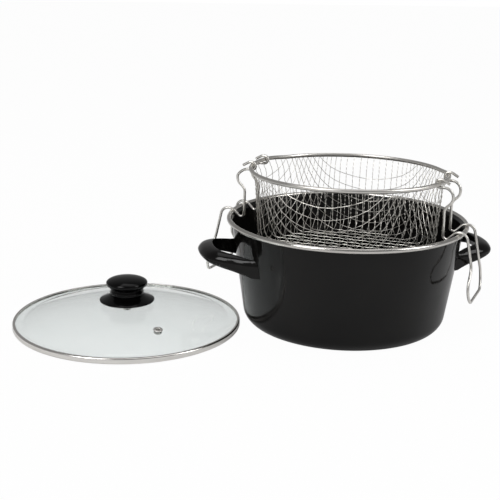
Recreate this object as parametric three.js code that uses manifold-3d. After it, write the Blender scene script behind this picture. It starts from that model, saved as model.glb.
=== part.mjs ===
// Stovetop chip pan: an enamelled steel pot with two D handles, a woven wire frying basket that hangs
// in its draining place from two wire bails, and a domed glass lid that lies beside the pot.
// Millimetres, +Z up. The origin is the centre of the pot's flat base, and +X runs along the handles.

import * as THREE from 'three';
import { mergeVertices } from 'three/addons/utils/BufferGeometryUtils.js';
import Module from 'manifold-3d';

const wasm = await Module();
wasm.setup();

// ---------------------------------------------------------------- driving dimensions

// Clearances
const SEAT_GAP = 0.3; // between two pieces that touch on the real object

// Pot body
const POT_EDGE_Z = 110.6; // height of the wall's rolled edge, at its middle
const POT_EDGE_R = 123.3; // radius of that rolled edge, at its middle
const POT_WALL = 1.6;
const POT_FLOOR = 2.4;
const POT_LEAN = THREE.MathUtils.degToRad(8.4); // the wall leans out from the base
const POT_EDGE_OUT = 2.1; // from the leaning wall, carried up to the edge's height, out to the edge
const POT_CORNER_R = 16; // bend between the base and the wall
const POT_SHOULDER_DROP = 3.4; // the wall turns out to its rolled edge this far below it
const POT_EDGE_ROLL = 1.65; // radius of the rolled edge

// Stainless band crimped round the rolled edge
const RIM_BAND_SHEET = 0.5;
const RIM_BAND_MOUTH = THREE.MathUtils.degToRad(74); // its open side, where the wall comes in
const RIM_BAND_MOUTH_TURN = THREE.MathUtils.degToRad(205); // where that side faces

// Pressed D handles
const HANDLE_SHEET = 2.2;
const HANDLE_SUNK = 6; // length of the arms' ends that is cut away to the curve of the wall
const HANDLE_OUT = 38; // from the wall to the handle's outer edge, level with its lip
const HANDLE_WINDOW = 23.5; // from the wall to the inner edge of its lip
const HANDLE_ROOT_HALF = 44.5; // half the spread of the outer edge where the arms meet the wall
const HANDLE_LIP_ROOT_HALF = 38.5;
const HANDLE_ARM_HALF = 36; // half the spread of the outer edge half-way out
const HANDLE_LIP_ARM_HALF = 28.5;
const HANDLE_BELOW_EDGE = 22.6; // from the pot's rolled edge down to the lip at its outer end
const HANDLE_ROOT_DROP = 7.5; // the lip is this much lower where it meets the wall
const HANDLE_HEIGHT = 10.5; // at the outer end
const HANDLE_ROOT_HEIGHT = 15.7;
const HANDLE_CROWN = 7.2; // the section is widest this far below the lip
const HANDLE_TUCK = 2.2; // its lower edge turns back in by this much

// Basket ring
const RING_INSET = 21.5; // from the pot's rolled edge in to the ring
const RING_RISE = 51.9; // how far the ring hangs above the pot's rolled edge
const SLEEVE_R = 2.4;
const SLEEVE_SHEET = 0.45;
const SLEEVE_MOUTH = THREE.MathUtils.degToRad(62);
const SLEEVE_MOUTH_TURN = THREE.MathUtils.degToRad(250);
const RING_WIRE_R = 0.65;
const HEM_SIZE = 1.2; // the net's edge, folded over and clamped in the sleeve

// Basket net
const BASKET_INSET = 4.2; // from the ring in to the net's wall, carried straight up to it
const BASKET_TAPER = 0.07; // the wall draws in by this much for each unit of drop
const BASKET_DEPTH = 84;
const BASKET_CORNER_R = 13;
const BASKET_NECK = 11; // the net draws in from the ring to its wall over this drop
const NET_PITCH = 24;
const NET_WIRE = 1;
const NET_TURN = THREE.MathUtils.degToRad(-23);

// Bails: one bent wire each, hooked to the ring and over the pot's rim
const BAIL_WIRE_R = 1.4;
const BAIL_SIDES = 6;
const HOOK_PLAY = 0.6; // between a hook and the ring's sleeve
const BAIL_HALF = 19; // half the spread of the two hooks
const BAIL_GRIP_HALF = 27;
const BAIL_RIGHT_TURN = THREE.MathUtils.degToRad(-29.4);
const BAIL_LEFT_TURN = THREE.MathUtils.degToRad(153.1);
const BAIL_BULGE = 12.7; // how far the wire bends out beyond the ring
const BAIL_BULGE_DROP = 18; // from the ring down to the lower end of that bend
const BAIL_THROAT_DROP = 25.7;
const BAIL_LEG_OUT = 4.5; // how far outside the ring the legs come down
const BAIL_FOOT_DROP = 9.2; // from the pot's rolled edge down to the foot of a leg
const BAIL_HUMP_BEND = 8.4; // bend over the pot's rim
const BAIL_HUMP_SHIFT = 0.5; // the bend's centre lies this far outside the rolled edge
const BAIL_GRIP_OUT = 16.2; // how far outside the rolled edge the grip hangs
const BAIL_FLARE_START = 17.6; // from the rolled edge down to where the grip widens
const BAIL_FLARE_END = 44; // and down to where it is full width
const BAIL_GRIP_DROP = 64.6; // and down to its lower bar
const BAIL_STUB = 12; // length of the cut end beyond the ring's middle

// Lid, lying to the left of the pot
const LID_APART = 5.7; // space between the pot's wall and the lid's edge
const LID_Y = 5;
const LID_PLAY = 3.1; // between the lid's edge and the pot's rolled edge, when the lid is on
const LID_BAND_SHEET = 0.7;
const LID_BAND_LIP = 3.6; // how far the band's lips reach over the glass
const LID_GLASS = 4;
const LID_DOME = 17.5; // rise of the glass from its edge to its crown
const LID_FLANGE = 9; // width of the flat ring outside the dome
const LID_BORE_R = 4; // hole for the knob's screw

// Steam vent in the glass
const VENT_DISTANCE = 72.5;
const VENT_TURN = THREE.MathUtils.degToRad(-65.5);
const VENT_BORE_R = 2;
const VENT_SHEET = 0.8;
const VENT_FLANGE_R = 4.9;
const VENT_FLANGE_SHEET = 0.9;

// Knob and what holds it
const KNOB_CAP_R = 21.5;
const KNOB_CAP_HEIGHT = 12.4; // from the notch under the cap to its crown
const KNOB_NOTCH_R = 16.6;
const KNOB_NECK_R = 17.6;
const KNOB_NECK_HEIGHT = 6;
const SKIRT_R = 28.6;
const SKIRT_HEIGHT = 7;
const SKIRT_SHELL = 1.8;
const SKIRT_BOSS_R = 12;
const SEAL_R = 9;
const SEAL_THICK = 1.5;
const WASHER_R = 8;
const WASHER_THICK = 1;
const SCREW_R = 2.4;
const SCREW_HEAD_R = 4.6;
const SCREW_HEAD_HEIGHT = 2.6;
const SCREW_REACH = 8; // how far the screw goes up into the insert
const INSERT_R = 5;
const INSERT_LENGTH = 11;

// Facets
const POT_FACETS = 44;
const RING_FACETS = 40;
const LID_FACETS = 40;
const KNOB_FACETS = 20;
const SMALL_FACETS = 12;

// ---------------------------------------------------------------- shape helpers

/** Point (radius, height) of a profile that is turned about the Z axis. */
const at = (radius, height) => new THREE.Vector2(radius, height);

/** Points of an arc in a profile, both ends included, angles in radians. */
function arc(centre, radius, from, to, steps) {
  return Array.from({ length: steps + 1 }, (_, i) => {
    const angle = from + ((to - from) * i) / steps;
    return at(centre.x + radius * Math.cos(angle), centre.y + radius * Math.sin(angle));
  });
}

/** The same run of points, moved to its right by a distance. */
function insetLine(points, distance) {
  return points.map((p, i) => {
    const before = points[Math.max(i - 1, 0)];
    const after = points[Math.min(i + 1, points.length - 1)];
    const a = p === before ? after.clone().sub(p).normalize() : p.clone().sub(before).normalize();
    const b = p === after ? a : after.clone().sub(p).normalize();
    const mean = a.clone().add(b).normalize();
    const reach = distance / mean.dot(b);
    return at(p.x + mean.y * reach, p.y - mean.x * reach);
  });
}

/** Closed ring or solid turned about Z, from a counter-clockwise profile. */
function turned(profile, facets) {
  const closes = profile[0].x > 0 || profile.at(-1).x > 0;
  const outline = closes ? [...profile, profile[0].clone()] : profile;
  return new THREE.LatheGeometry(outline, facets).rotateX(Math.PI / 2);
}

/** Solid for joining and cutting, from a closed geometry. */
function toSolid(geometry) {
  const plain = geometry.clone();
  plain.deleteAttribute('normal');
  plain.deleteAttribute('uv');
  const merged = mergeVertices(plain, 1e-4);
  return new wasm.Manifold(new wasm.Mesh({
    numProp: 3,
    vertProperties: Float32Array.from(merged.attributes.position.array),
    triVerts: Uint32Array.from(merged.index.array),
  }));
}

/** Geometry of a joined or cut solid. */
function fromSolid(solid) {
  const { vertProperties, triVerts, numProp } = solid.getMesh();
  const positions = new Float32Array(triVerts.length * 3);
  triVerts.forEach((vertex, i) => {
    for (let axis = 0; axis < 3; axis += 1) {
      positions[i * 3 + axis] = vertProperties[vertex * numProp + axis];
    }
  });
  const geometry = new THREE.BufferGeometry();
  geometry.setAttribute('position', new THREE.BufferAttribute(positions, 3));
  return geometry;
}

/** Closed geometry from a list of corners and the four-sided faces between them. */
function fromQuads(corners, quads) {
  const geometry = new THREE.BufferGeometry();
  geometry.setAttribute('position', new THREE.Float32BufferAttribute(corners.flatMap((p) => p.toArray()), 3));
  geometry.setIndex(quads.flatMap(([a, b, c, d]) => [a, b, c, a, c, d]));
  return geometry;
}

function finish(color, roughness, metalness) {
  return new THREE.MeshStandardMaterial({ color, roughness, metalness });
}

function piece(name, geometry, material) {
  const mesh = new THREE.Mesh(geometry, material);
  mesh.name = name;
  return mesh;
}

const enamel = () => finish(0x111112, 0.12, 0);
const brightSteel = () => finish(0xc9c7c2, 0.25, 1);
const steelWire = () => finish(0xbdb9b1, 0.3, 1);
const bakelite = () => finish(0x0a0a0b, 0.2, 0);

// ---------------------------------------------------------------- pot

const handleLipZ = POT_EDGE_Z - HANDLE_BELOW_EDGE;
const ringR = POT_EDGE_R - RING_INSET;
const ringZ = POT_EDGE_Z + RING_RISE;

/** Outer radius of the pot's leaning wall at a height. */
function potWallRadius(height) {
  return POT_EDGE_R - POT_EDGE_OUT - Math.tan(POT_LEAN) * (POT_EDGE_Z - height);
}

/** Profile of the pot's outside from the base up to below the shoulder. */
function potOutline(inset, floor, corner) {
  const slant = inset / Math.cos(POT_LEAN);
  const bend = at(potWallRadius(floor + corner) - slant - corner / Math.cos(POT_LEAN), floor + corner);
  return arc(bend, corner, -Math.PI / 2, -POT_LEAN, 4);
}

function potVessel() {
  const edge = at(POT_EDGE_R, POT_EDGE_Z);
  const shoulder = POT_EDGE_Z - POT_SHOULDER_DROP;
  const slant = POT_WALL / Math.cos(POT_LEAN);
  const outside = potOutline(0, 0, POT_CORNER_R);
  const inside = potOutline(POT_WALL, POT_FLOOR, POT_CORNER_R - POT_WALL).reverse();
  const roll = arc(edge, POT_EDGE_ROLL, THREE.MathUtils.degToRad(-128), THREE.MathUtils.degToRad(165), 7);
  return turned([
    at(0, 0),
    ...outside,
    at(potWallRadius(shoulder), shoulder),
    ...roll,
    at(potWallRadius(shoulder + 1) - slant, shoulder + 1),
    ...inside,
    at(0, POT_FLOOR),
  ], POT_FACETS);
}

/** C-shaped section, open on one side, round a middle point. */
function cSection(middle, radius, sheet, mouth, mouthTurn, steps) {
  const from = mouthTurn + mouth / 2;
  const to = mouthTurn + 2 * Math.PI - mouth / 2;
  return [
    ...arc(middle, radius, from, to, steps),
    ...arc(middle, radius - sheet, to, from, steps - 1),
  ];
}

function potRimBand() {
  const radius = POT_EDGE_ROLL + SEAT_GAP + RIM_BAND_SHEET;
  const section = cSection(
    at(POT_EDGE_R, POT_EDGE_Z), radius, RIM_BAND_SHEET, RIM_BAND_MOUTH, RIM_BAND_MOUTH_TURN, 7);
  return turned(section, POT_FACETS);
}

/** Smooth plan curve of a handle edge, from one root to the other. */
function handleEdge(rootHalf, armHalf, reach) {
  const root = potWallRadius(handleLipZ - HANDLE_ROOT_HEIGHT) - HANDLE_SUNK;
  const out = reach - root;
  const half = [
    new THREE.Vector3(root, rootHalf, 0),
    new THREE.Vector3(root + out * 0.3, armHalf + (rootHalf - armHalf) * 0.4, 0),
    new THREE.Vector3(root + out * 0.62, armHalf * 0.97, 0),
    new THREE.Vector3(root + out * 0.88, armHalf * 0.7, 0),
    new THREE.Vector3(root + out * 0.985, armHalf * 0.32, 0),
  ];
  const far = half.map((p) => new THREE.Vector3(p.x, -p.y, 0)).reverse();
  return new THREE.CatmullRomCurve3([...half, new THREE.Vector3(reach, 0, 0), ...far]);
}

/** Curved pressed strip bent into a D and cut to the pot's wall. */
function potHandle() {
  const stations = 20;
  const wall = potWallRadius(handleLipZ);
  const lip = handleEdge(HANDLE_LIP_ROOT_HALF, HANDLE_LIP_ARM_HALF, wall + HANDLE_WINDOW);
  const brow = handleEdge(HANDLE_ROOT_HALF, HANDLE_ARM_HALF, wall + HANDLE_OUT);
  const corners = [];
  const perStation = 12;
  for (let i = 0; i <= stations; i += 1) {
    const along = i / stations;
    const top = lip.getPoint(along);
    const outward = brow.getPoint(along).sub(top);
    const spread = outward.length();
    outward.normalize();
    const rootShare = (2 * along - 1) ** 2;
    const lipZ = handleLipZ - HANDLE_ROOT_DROP * rootShare;
    const height = THREE.MathUtils.lerp(HANDLE_HEIGHT, HANDLE_ROOT_HEIGHT, rootShare);
    const skin = [
      at(0, 0),
      at(spread * 0.4, -HANDLE_CROWN * 0.14),
      at(spread * 0.78, -HANDLE_CROWN * 0.48),
      at(spread, -HANDLE_CROWN),
      at(spread, -height + HANDLE_TUCK),
      at(spread - HANDLE_TUCK, -height),
    ];
    [...skin, ...insetLine(skin, HANDLE_SHEET).reverse()].forEach((p) => {
      corners.push(top.clone().addScaledVector(outward, p.x).setZ(lipZ + p.y));
    });
  }
  const quads = [];
  for (let i = 0; i < stations; i += 1) {
    for (let j = 0; j < perStation; j += 1) {
      const k = (j + 1) % perStation;
      const here = i * perStation;
      const next = here + perStation;
      quads.push([here + j, next + j, next + k, here + k]);
    }
  }
  const last = stations * perStation;
  for (let j = 0; j < perStation / 2 - 1; j += 1) {
    const across = perStation - 1 - j;
    quads.push([j, j + 1, across - 1, across]);
    quads.push([last + across, last + across - 1, last + j + 1, last + j]);
  }
  const strip = toSolid(fromQuads(corners, quads));
  const top = POT_EDGE_Z;
  const wallCut = toSolid(turned([
    at(0, 0), at(potWallRadius(0) + SEAT_GAP, 0), at(potWallRadius(top) + SEAT_GAP, top), at(0, top),
  ], POT_FACETS));
  return fromSolid(strip.subtract(wallCut));
}

// ---------------------------------------------------------------- basket

function basketSleeve() {
  const section = cSection(
    at(ringR, ringZ), SLEEVE_R, SLEEVE_SHEET, SLEEVE_MOUTH, SLEEVE_MOUTH_TURN, 6);
  return turned(section, RING_FACETS);
}

const ringWireZ = ringZ + SLEEVE_R - SLEEVE_SHEET - SEAT_GAP - RING_WIRE_R;

function basketRingWire() {
  const section = arc(at(ringR, ringWireZ), RING_WIRE_R, 0, 2 * Math.PI, 5).slice(0, -1);
  return turned(section, RING_FACETS);
}

const basketFloorZ = ringZ - BASKET_DEPTH;
const hemR = ringR - 0.25;
const hemZ = ringWireZ - RING_WIRE_R - SEAT_GAP - HEM_SIZE / 2;

/** Radius of the basket's straight wall at a height. */
const basketWallRadius = (height) => ringR - BASKET_INSET - BASKET_TAPER * (ringZ - height);

/** The basket's meridian: flat floor, corner bend, straight wall, neck, and a run beyond the hem. */
function basketMeridian() {
  const lean = Math.atan(BASKET_TAPER);
  const bendZ = basketFloorZ + BASKET_CORNER_R;
  const bendR = basketWallRadius(bendZ) - BASKET_CORNER_R / Math.cos(lean);
  const neckZ = hemZ - BASKET_NECK;
  const run = NET_PITCH * 4;
  return [
    at(0, basketFloorZ),
    ...arc(at(bendR, bendZ), BASKET_CORNER_R, -Math.PI / 2, -lean, 10),
    at(basketWallRadius(neckZ), neckZ),
    at(hemR, hemZ),
    at(hemR, hemZ + run),
  ];
}

const meridian = basketMeridian();
const meridianLength = [0];
for (let i = 1; i < meridian.length; i += 1) {
  meridianLength.push(meridianLength[i - 1] + meridian[i].distanceTo(meridian[i - 1]));
}

/** Point on the basket's surface at an angle and a length along its meridian. */
function basketPoint(angle, length) {
  let i = 1;
  while (i < meridian.length - 1 && meridianLength[i] < length) i += 1;
  const share = (length - meridianLength[i - 1]) / (meridianLength[i] - meridianLength[i - 1]);
  const { x: radius, y: height } = meridian[i - 1].clone().lerp(meridian[i], share);
  return new THREE.Vector3(radius * Math.cos(angle), radius * Math.sin(angle), height);
}

/** Net crossing one pitch away from two neighbours, found by Newton's method on the surface. */
function nextKnot(left, below, start) {
  let { angle, length } = start;
  const miss = (a, l) => {
    const p = basketPoint(a, l);
    return [p.distanceTo(left.point) - NET_PITCH, p.distanceTo(below.point) - NET_PITCH];
  };
  const step = 1e-4;
  for (let round = 0; round < 60; round += 1) {
    const [m0, m1] = miss(angle, length);
    if (Math.max(Math.abs(m0), Math.abs(m1)) < 1e-6) break;
    const [a0, a1] = miss(angle + step, length);
    const [l0, l1] = miss(angle, length + step);
    const [ja, jb, jc, jd] = [(a0 - m0) / step, (l0 - m0) / step, (a1 - m1) / step, (l1 - m1) / step];
    const det = ja * jd - jb * jc;
    angle -= THREE.MathUtils.clamp((jd * m0 - jb * m1) / det, -0.1, 0.1);
    length -= THREE.MathUtils.clamp((ja * m1 - jc * m0) / det, -NET_PITCH, NET_PITCH);
  }
  return { angle, length, point: basketPoint(angle, length) };
}

/** One quarter of the square net, draped over the basket's form from the middle of its floor. */
function drapeQuarter() {
  const hemLength = meridianLength.at(-2);
  const count = Math.ceil(hemLength / NET_PITCH) + 3;
  const knots = Array.from({ length: count }, () => []);
  for (let i = 0; i < count; i += 1) {
    knots[i][0] = { angle: 0, length: i * NET_PITCH, point: basketPoint(0, i * NET_PITCH) };
    knots[0][i] = { angle: Math.PI / 2, length: i * NET_PITCH, point: basketPoint(Math.PI / 2, i * NET_PITCH) };
  }
  for (let i = 1; i < count; i += 1) {
    for (let j = 1; j < count; j += 1) {
      const left = knots[i - 1][j];
      const below = knots[i][j - 1];
      if (!left || !below || Math.min(left.length, below.length) > hemLength + NET_PITCH) continue;
      const guess = {
        angle: Math.atan2(left.point.y + below.point.y, left.point.x + below.point.x),
        length: Math.max(left.length, below.length) + NET_PITCH / 2,
      };
      knots[i][j] = nextKnot(left, below, guess);
    }
  }
  return knots;
}

/** The whole net as one closed lattice of square wires, with its hem. */
function basketNet() {
  const quarter = drapeQuarter();
  const hemLength = meridianLength.at(-2);
  const inside = (knot) => knot !== undefined && knot.length < hemLength - NET_WIRE;
  const lookUp = (i, j) => {
    const knot = quarter[Math.abs(i)]?.[Math.abs(j)];
    if (!knot) return undefined;
    const point = new THREE.Vector3(
      Math.sign(i || 1) * knot.point.x, Math.sign(j || 1) * knot.point.y, knot.point.z);
    return { point, length: knot.length };
  };
  const half = NET_WIRE / 2;
  const corners = [];
  const quads = [];
  const slots = new Map();
  const reach = quarter.length - 1;
  const eachKnot = (visit) => {
    for (let i = -reach; i <= reach; i += 1) {
      for (let j = -reach; j <= reach; j += 1) {
        const knot = lookUp(i, j);
        if (inside(knot)) visit(i, j, knot);
      }
    }
  };
  const direction = (knot, ahead, behind) => {
    const to = ahead ?? knot;
    const from = behind ?? knot;
    return to.point.clone().sub(from.point).normalize();
  };
  eachKnot((i, j, knot) => {
    const u = direction(knot, lookUp(i + 1, j), lookUp(i - 1, j));
    const v = direction(knot, lookUp(i, j + 1), lookUp(i, j - 1));
    const normal = new THREE.Vector3().crossVectors(u, v).normalize();
    const skew = half / new THREE.Vector3().crossVectors(u, v).length();
    const base = corners.length;
    for (const side of [-1, 1]) {
      for (const [du, dv] of [[-1, -1], [1, -1], [1, 1], [-1, 1]]) {
        corners.push(knot.point.clone()
          .addScaledVector(u, du * skew).addScaledVector(v, dv * skew)
          .addScaledVector(normal, side * half));
      }
    }
    slots.set(`${i},${j}`, { base, normal });
    quads.push([base + 4, base + 5, base + 6, base + 7]);
    quads.push([base, base + 3, base + 2, base + 1]);
  });
  // A joint's corner numbers on each of its four sides: low first, low last, high last, high first.
  const sides = { east: [1, 2, 6, 5], west: [3, 0, 4, 7], north: [2, 3, 7, 6], south: [0, 1, 5, 4] };
  const close = (ring) => quads.push(ring);
  const bridge = (a, b) => {
    for (let k = 0; k < 4; k += 1) {
      const n = (k + 1) % 4;
      quads.push([a[k], a[n], b[n], b[k]]);
    }
  };
  const opposite = { east: 'west', west: 'east', north: 'south', south: 'north' };
  const steps = { east: [1, 0], west: [-1, 0], north: [0, 1], south: [0, -1] };
  eachKnot((i, j, knot) => {
    const { base, normal } = slots.get(`${i},${j}`);
    for (const [side, [di, dj]] of Object.entries(steps)) {
      const ring = sides[side].map((n) => base + n);
      const neighbour = lookUp(i + di, j + dj);
      if (inside(neighbour)) {
        if (side === 'west' || side === 'south') continue;
        const other = slots.get(`${i + di},${j + dj}`).base;
        const [b0, b1, b2, b3] = sides[opposite[side]].map((n) => other + n);
        bridge(ring, [b1, b0, b3, b2]);
      } else if (neighbour) {
        const share = (hemLength - knot.length) / (neighbour.length - knot.length);
        const crossing = knot.point.clone().lerp(neighbour.point, share);
        const end = basketPoint(Math.atan2(crossing.y, crossing.x), hemLength);
        const run = end.clone().sub(knot.point).normalize();
        const across = new THREE.Vector3().crossVectors(normal, run).normalize();
        const first = corners.length;
        const middle = corners[ring[0]].clone().add(corners[ring[1]]).multiplyScalar(0.5);
        const sense = Math.sign(across.dot(corners[ring[1]].clone().sub(middle)));
        for (const [a, n] of [[-1, -1], [1, -1], [1, 1], [-1, 1]]) {
          corners.push(end.clone()
            .addScaledVector(across, a * sense * half * 0.6).addScaledVector(normal, n * half * 0.6));
        }
        const cap = [first, first + 1, first + 2, first + 3];
        bridge(ring, cap);
        close(cap);
      } else {
        close(ring);
      }
    }
  });
  const lattice = toSolid(fromQuads(corners, quads));
  const hemHalf = HEM_SIZE / 2;
  const hem = toSolid(turned([
    at(hemR - hemHalf, hemZ - hemHalf), at(hemR + hemHalf, hemZ - hemHalf),
    at(hemR + hemHalf, hemZ + hemHalf), at(hemR - hemHalf, hemZ + hemHalf),
  ], RING_FACETS).rotateZ(-NET_TURN));
  return fromSolid(lattice.add(hem)).rotateZ(NET_TURN);
}

// ---------------------------------------------------------------- bails

/** Centre line of a bent wire: straight runs between bends, with a station at each end of every facet. */
class WirePath extends THREE.Curve {
  constructor(vertices, facetTurn) {
    super();
    this.stations = WirePath.bent(vertices, facetTurn);
  }

  static bent(vertices, facetTurn) {
    const stations = [vertices[0].at.clone()];
    for (let i = 1; i < vertices.length - 1; i += 1) {
      const corner = vertices[i].at;
      const incoming = corner.clone().sub(vertices[i - 1].at).normalize();
      const leaving = vertices[i + 1].at.clone().sub(corner).normalize();
      const turn = incoming.angleTo(leaving);
      const setBack = vertices[i].bend * Math.tan(turn / 2);
      const start = corner.clone().addScaledVector(incoming, -setBack);
      const axis = new THREE.Vector3().crossVectors(incoming, leaving).normalize();
      const toCentre = new THREE.Vector3().crossVectors(axis, incoming);
      const centre = start.clone().addScaledVector(toCentre, vertices[i].bend);
      const steps = Math.max(1, Math.ceil(turn / facetTurn));
      for (let k = 0; k <= steps; k += 1) {
        const spoke = start.clone().sub(centre).applyAxisAngle(axis, (turn * k) / steps);
        stations.push(centre.clone().add(spoke));
      }
    }
    stations.push(vertices.at(-1).at.clone());
    return stations;
  }

  getPoint(share, target = new THREE.Vector3()) {
    const place = THREE.MathUtils.clamp(share, 0, 1) * (this.stations.length - 1);
    const i = Math.min(Math.floor(place), this.stations.length - 2);
    return target.copy(this.stations[i]).lerp(this.stations[i + 1], place - i);
  }

  getPointAt(share, target) {
    return this.getPoint(share, target);
  }

  getTangent(share, target = new THREE.Vector3()) {
    const i = Math.round(share * (this.stations.length - 1));
    const back = this.stations[Math.max(i - 1, 0)];
    const here = this.stations[i];
    const ahead = this.stations[Math.min(i + 1, this.stations.length - 1)];
    const before = here.clone().sub(back).normalize();
    return target.copy(ahead).sub(here).normalize().add(before).normalize();
  }

  getTangentAt(share, target) {
    return this.getTangent(share, target);
  }
}

/** Corner whose rounding lies on a given circle, for a path that passes the circle on its left. */
function cornerOver(before, centre, radius, after) {
  const rise = centre.clone().sub(before);
  const climb = rise.angle() + Math.asin(radius / rise.length());
  const fall = after.clone().sub(centre);
  const drop = fall.angle() - Math.asin(radius / fall.length());
  const up = at(Math.cos(climb), Math.sin(climb));
  const down = at(Math.cos(drop), Math.sin(drop));
  const share = after.clone().sub(before).cross(down) / up.cross(down);
  return before.clone().addScaledVector(up, share);
}

/** Bends of one bail from its cut end to the corner of its grip: radius from the pot's axis, spread, height. */
function bailHalf() {
  const wrap = SLEEVE_R + HOOK_PLAY + BAIL_WIRE_R;
  const vertex = (radius, spread, height, bend) => {
    const out = Math.sqrt(radius ** 2 - spread ** 2);
    return { at: new THREE.Vector3(out, spread, height), bend };
  };
  const humpTop = POT_EDGE_Z + POT_EDGE_ROLL + RIM_BAND_SHEET + 2 * SEAT_GAP + BAIL_WIRE_R;
  const leg = ringR + BAIL_LEG_OUT;
  const bulge = ringR + BAIL_BULGE;
  const grip = POT_EDGE_R + BAIL_GRIP_OUT;
  const foot = at(leg + 0.6, POT_EDGE_Z - BAIL_FOOT_DROP);
  const drop = at(grip - 3, POT_EDGE_Z - BAIL_FLARE_START);
  const humpCentre = at(POT_EDGE_R + BAIL_HUMP_SHIFT, humpTop - BAIL_HUMP_BEND);
  const hump = cornerOver(foot, humpCentre, BAIL_HUMP_BEND, drop);
  return [
    vertex(ringR + BAIL_STUB, BAIL_HALF + 1, ringZ + wrap - 2.6, 0),
    vertex(ringR + 2.5, BAIL_HALF + 1, ringZ + wrap, 5),
    vertex(ringR - wrap, BAIL_HALF + 1, ringZ + wrap, wrap),
    vertex(ringR - wrap, BAIL_HALF, ringZ - wrap, wrap),
    vertex(bulge, BAIL_HALF - 1, ringZ - wrap, 8),
    vertex(bulge, BAIL_HALF - 1.5, ringZ - BAIL_BULGE_DROP, 6),
    vertex(leg, BAIL_HALF - 2, ringZ - BAIL_THROAT_DROP, 5),
    vertex(foot.x, BAIL_HALF - 2, foot.y, 3.6),
    vertex(hump.x, BAIL_HALF, hump.y, BAIL_HUMP_BEND),
    vertex(drop.x, BAIL_HALF, drop.y, 14),
    vertex(grip - 0.5, BAIL_GRIP_HALF, POT_EDGE_Z - BAIL_FLARE_END, 14),
    vertex(grip + 1, BAIL_GRIP_HALF, POT_EDGE_Z - BAIL_GRIP_DROP, 8),
  ];
}

function bail(turn) {
  const half = bailHalf();
  const mirrored = half.map(({ at: p, bend }) => ({ at: new THREE.Vector3(p.x, -p.y, p.z), bend })).reverse();
  const path = new WirePath([...half, ...mirrored], THREE.MathUtils.degToRad(36));
  const section = new THREE.Shape(
    Array.from({ length: BAIL_SIDES }, (_, i) => {
      const angle = (2 * Math.PI * i) / BAIL_SIDES;
      return at(BAIL_WIRE_R * Math.cos(angle), BAIL_WIRE_R * Math.sin(angle));
    }));
  return new THREE.ExtrudeGeometry(section, {
    steps: path.stations.length - 1,
    bevelEnabled: false,
    extrudePath: path,
  }).rotateZ(turn);
}

// ---------------------------------------------------------------- lid

const lidR = POT_EDGE_R - POT_EDGE_ROLL - LID_PLAY;

const glassEdgeR = lidR - LID_BAND_SHEET - SEAT_GAP;
const glassEdgeZ = LID_BAND_SHEET + SEAT_GAP;
const domeR = glassEdgeR - LID_FLANGE;
const domeSphereR = (domeR ** 2 + LID_DOME ** 2) / (2 * LID_DOME);

/** Height of the glass's underside at a distance from the lid's axis. */
function glassUnderside(distance) {
  if (distance >= domeR) return glassEdgeZ;
  return glassEdgeZ + Math.sqrt(domeSphereR ** 2 - distance ** 2) - (domeSphereR - LID_DOME);
}

function lidGlass() {
  const rings = [1, 0.86, VENT_DISTANCE / domeR, 0.48, 0.26];
  const under = rings.map((share) => at(domeR * share, glassUnderside(domeR * share)));
  under.push(at(LID_BORE_R, glassUnderside(LID_BORE_R)));
  const over = under.map((p) => at(p.x, p.y + LID_GLASS)).reverse();
  const edge = [at(glassEdgeR, glassEdgeZ + LID_GLASS), at(glassEdgeR, glassEdgeZ)];
  const disc = toSolid(turned([...under, ...over, ...edge].reverse(), LID_FACETS));
  const hole = toSolid(ventPlaced(new THREE.CylinderGeometry(
    VENT_BORE_R + VENT_SHEET + SEAT_GAP, VENT_BORE_R + VENT_SHEET + SEAT_GAP, 4 * LID_GLASS, SMALL_FACETS)
    .rotateX(Math.PI / 2)));
  return fromSolid(disc.subtract(hole));
}

/** Moves a geometry made about the Z axis to the vent's seat in the middle of the glass. */
function ventPlaced(geometry) {
  const tilt = Math.asin(VENT_DISTANCE / domeSphereR);
  return geometry
    .rotateY(tilt)
    .translate(VENT_DISTANCE, 0, glassUnderside(VENT_DISTANCE) + LID_GLASS / 2)
    .rotateZ(VENT_TURN);
}

function lidVentEyelet() {
  const tube = VENT_BORE_R + VENT_SHEET;
  const seat = (LID_GLASS / 2) * Math.cos(Math.asin(VENT_DISTANCE / domeSphereR)) + SEAT_GAP;
  const top = seat + VENT_FLANGE_SHEET;
  return ventPlaced(turned([
    at(VENT_BORE_R, -top), at(VENT_FLANGE_R - 1, -top), at(VENT_FLANGE_R - 0.6, -seat),
    at(tube, -seat), at(tube, seat),
    at(VENT_FLANGE_R, seat), at(VENT_FLANGE_R - 0.3, top - 0.2), at(VENT_FLANGE_R - 1.4, top),
    at(VENT_BORE_R + 0.5, top), at(VENT_BORE_R, top - 0.4),
  ], SMALL_FACETS));
}

function lidRimBand() {
  const lip = glassEdgeR - LID_BAND_LIP;
  const inner = lidR - LID_BAND_SHEET;
  const top = glassEdgeZ + LID_GLASS + SEAT_GAP + LID_BAND_SHEET;
  const round = 1;
  return turned([
    at(lip, 0), at(lidR - round, 0), at(lidR, round), at(lidR, top - round), at(lidR - round, top),
    at(lip, top), at(lip, top - LID_BAND_SHEET), at(inner, top - LID_BAND_SHEET),
    at(inner, LID_BAND_SHEET), at(lip, LID_BAND_SHEET),
  ], LID_FACETS);
}

// ---------------------------------------------------------------- knob

const crownZ = glassUnderside(0) + LID_GLASS;
const skirtFootZ = crownZ + SEAT_GAP + SEAL_THICK + SEAT_GAP;
const neckFootZ = skirtFootZ + SKIRT_HEIGHT + SEAT_GAP;
const notchZ = neckFootZ + KNOB_NECK_HEIGHT;
const insertFootZ = neckFootZ + 1;
const boltHoleR = SCREW_R + SEAT_GAP;

/** Flat ring with a hole for the screw, standing on a height. */
function disc(radius, foot, thickness, bore) {
  return turned([at(bore, foot), at(radius, foot), at(radius, foot + thickness), at(bore, foot + thickness)],
    SMALL_FACETS);
}

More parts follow.
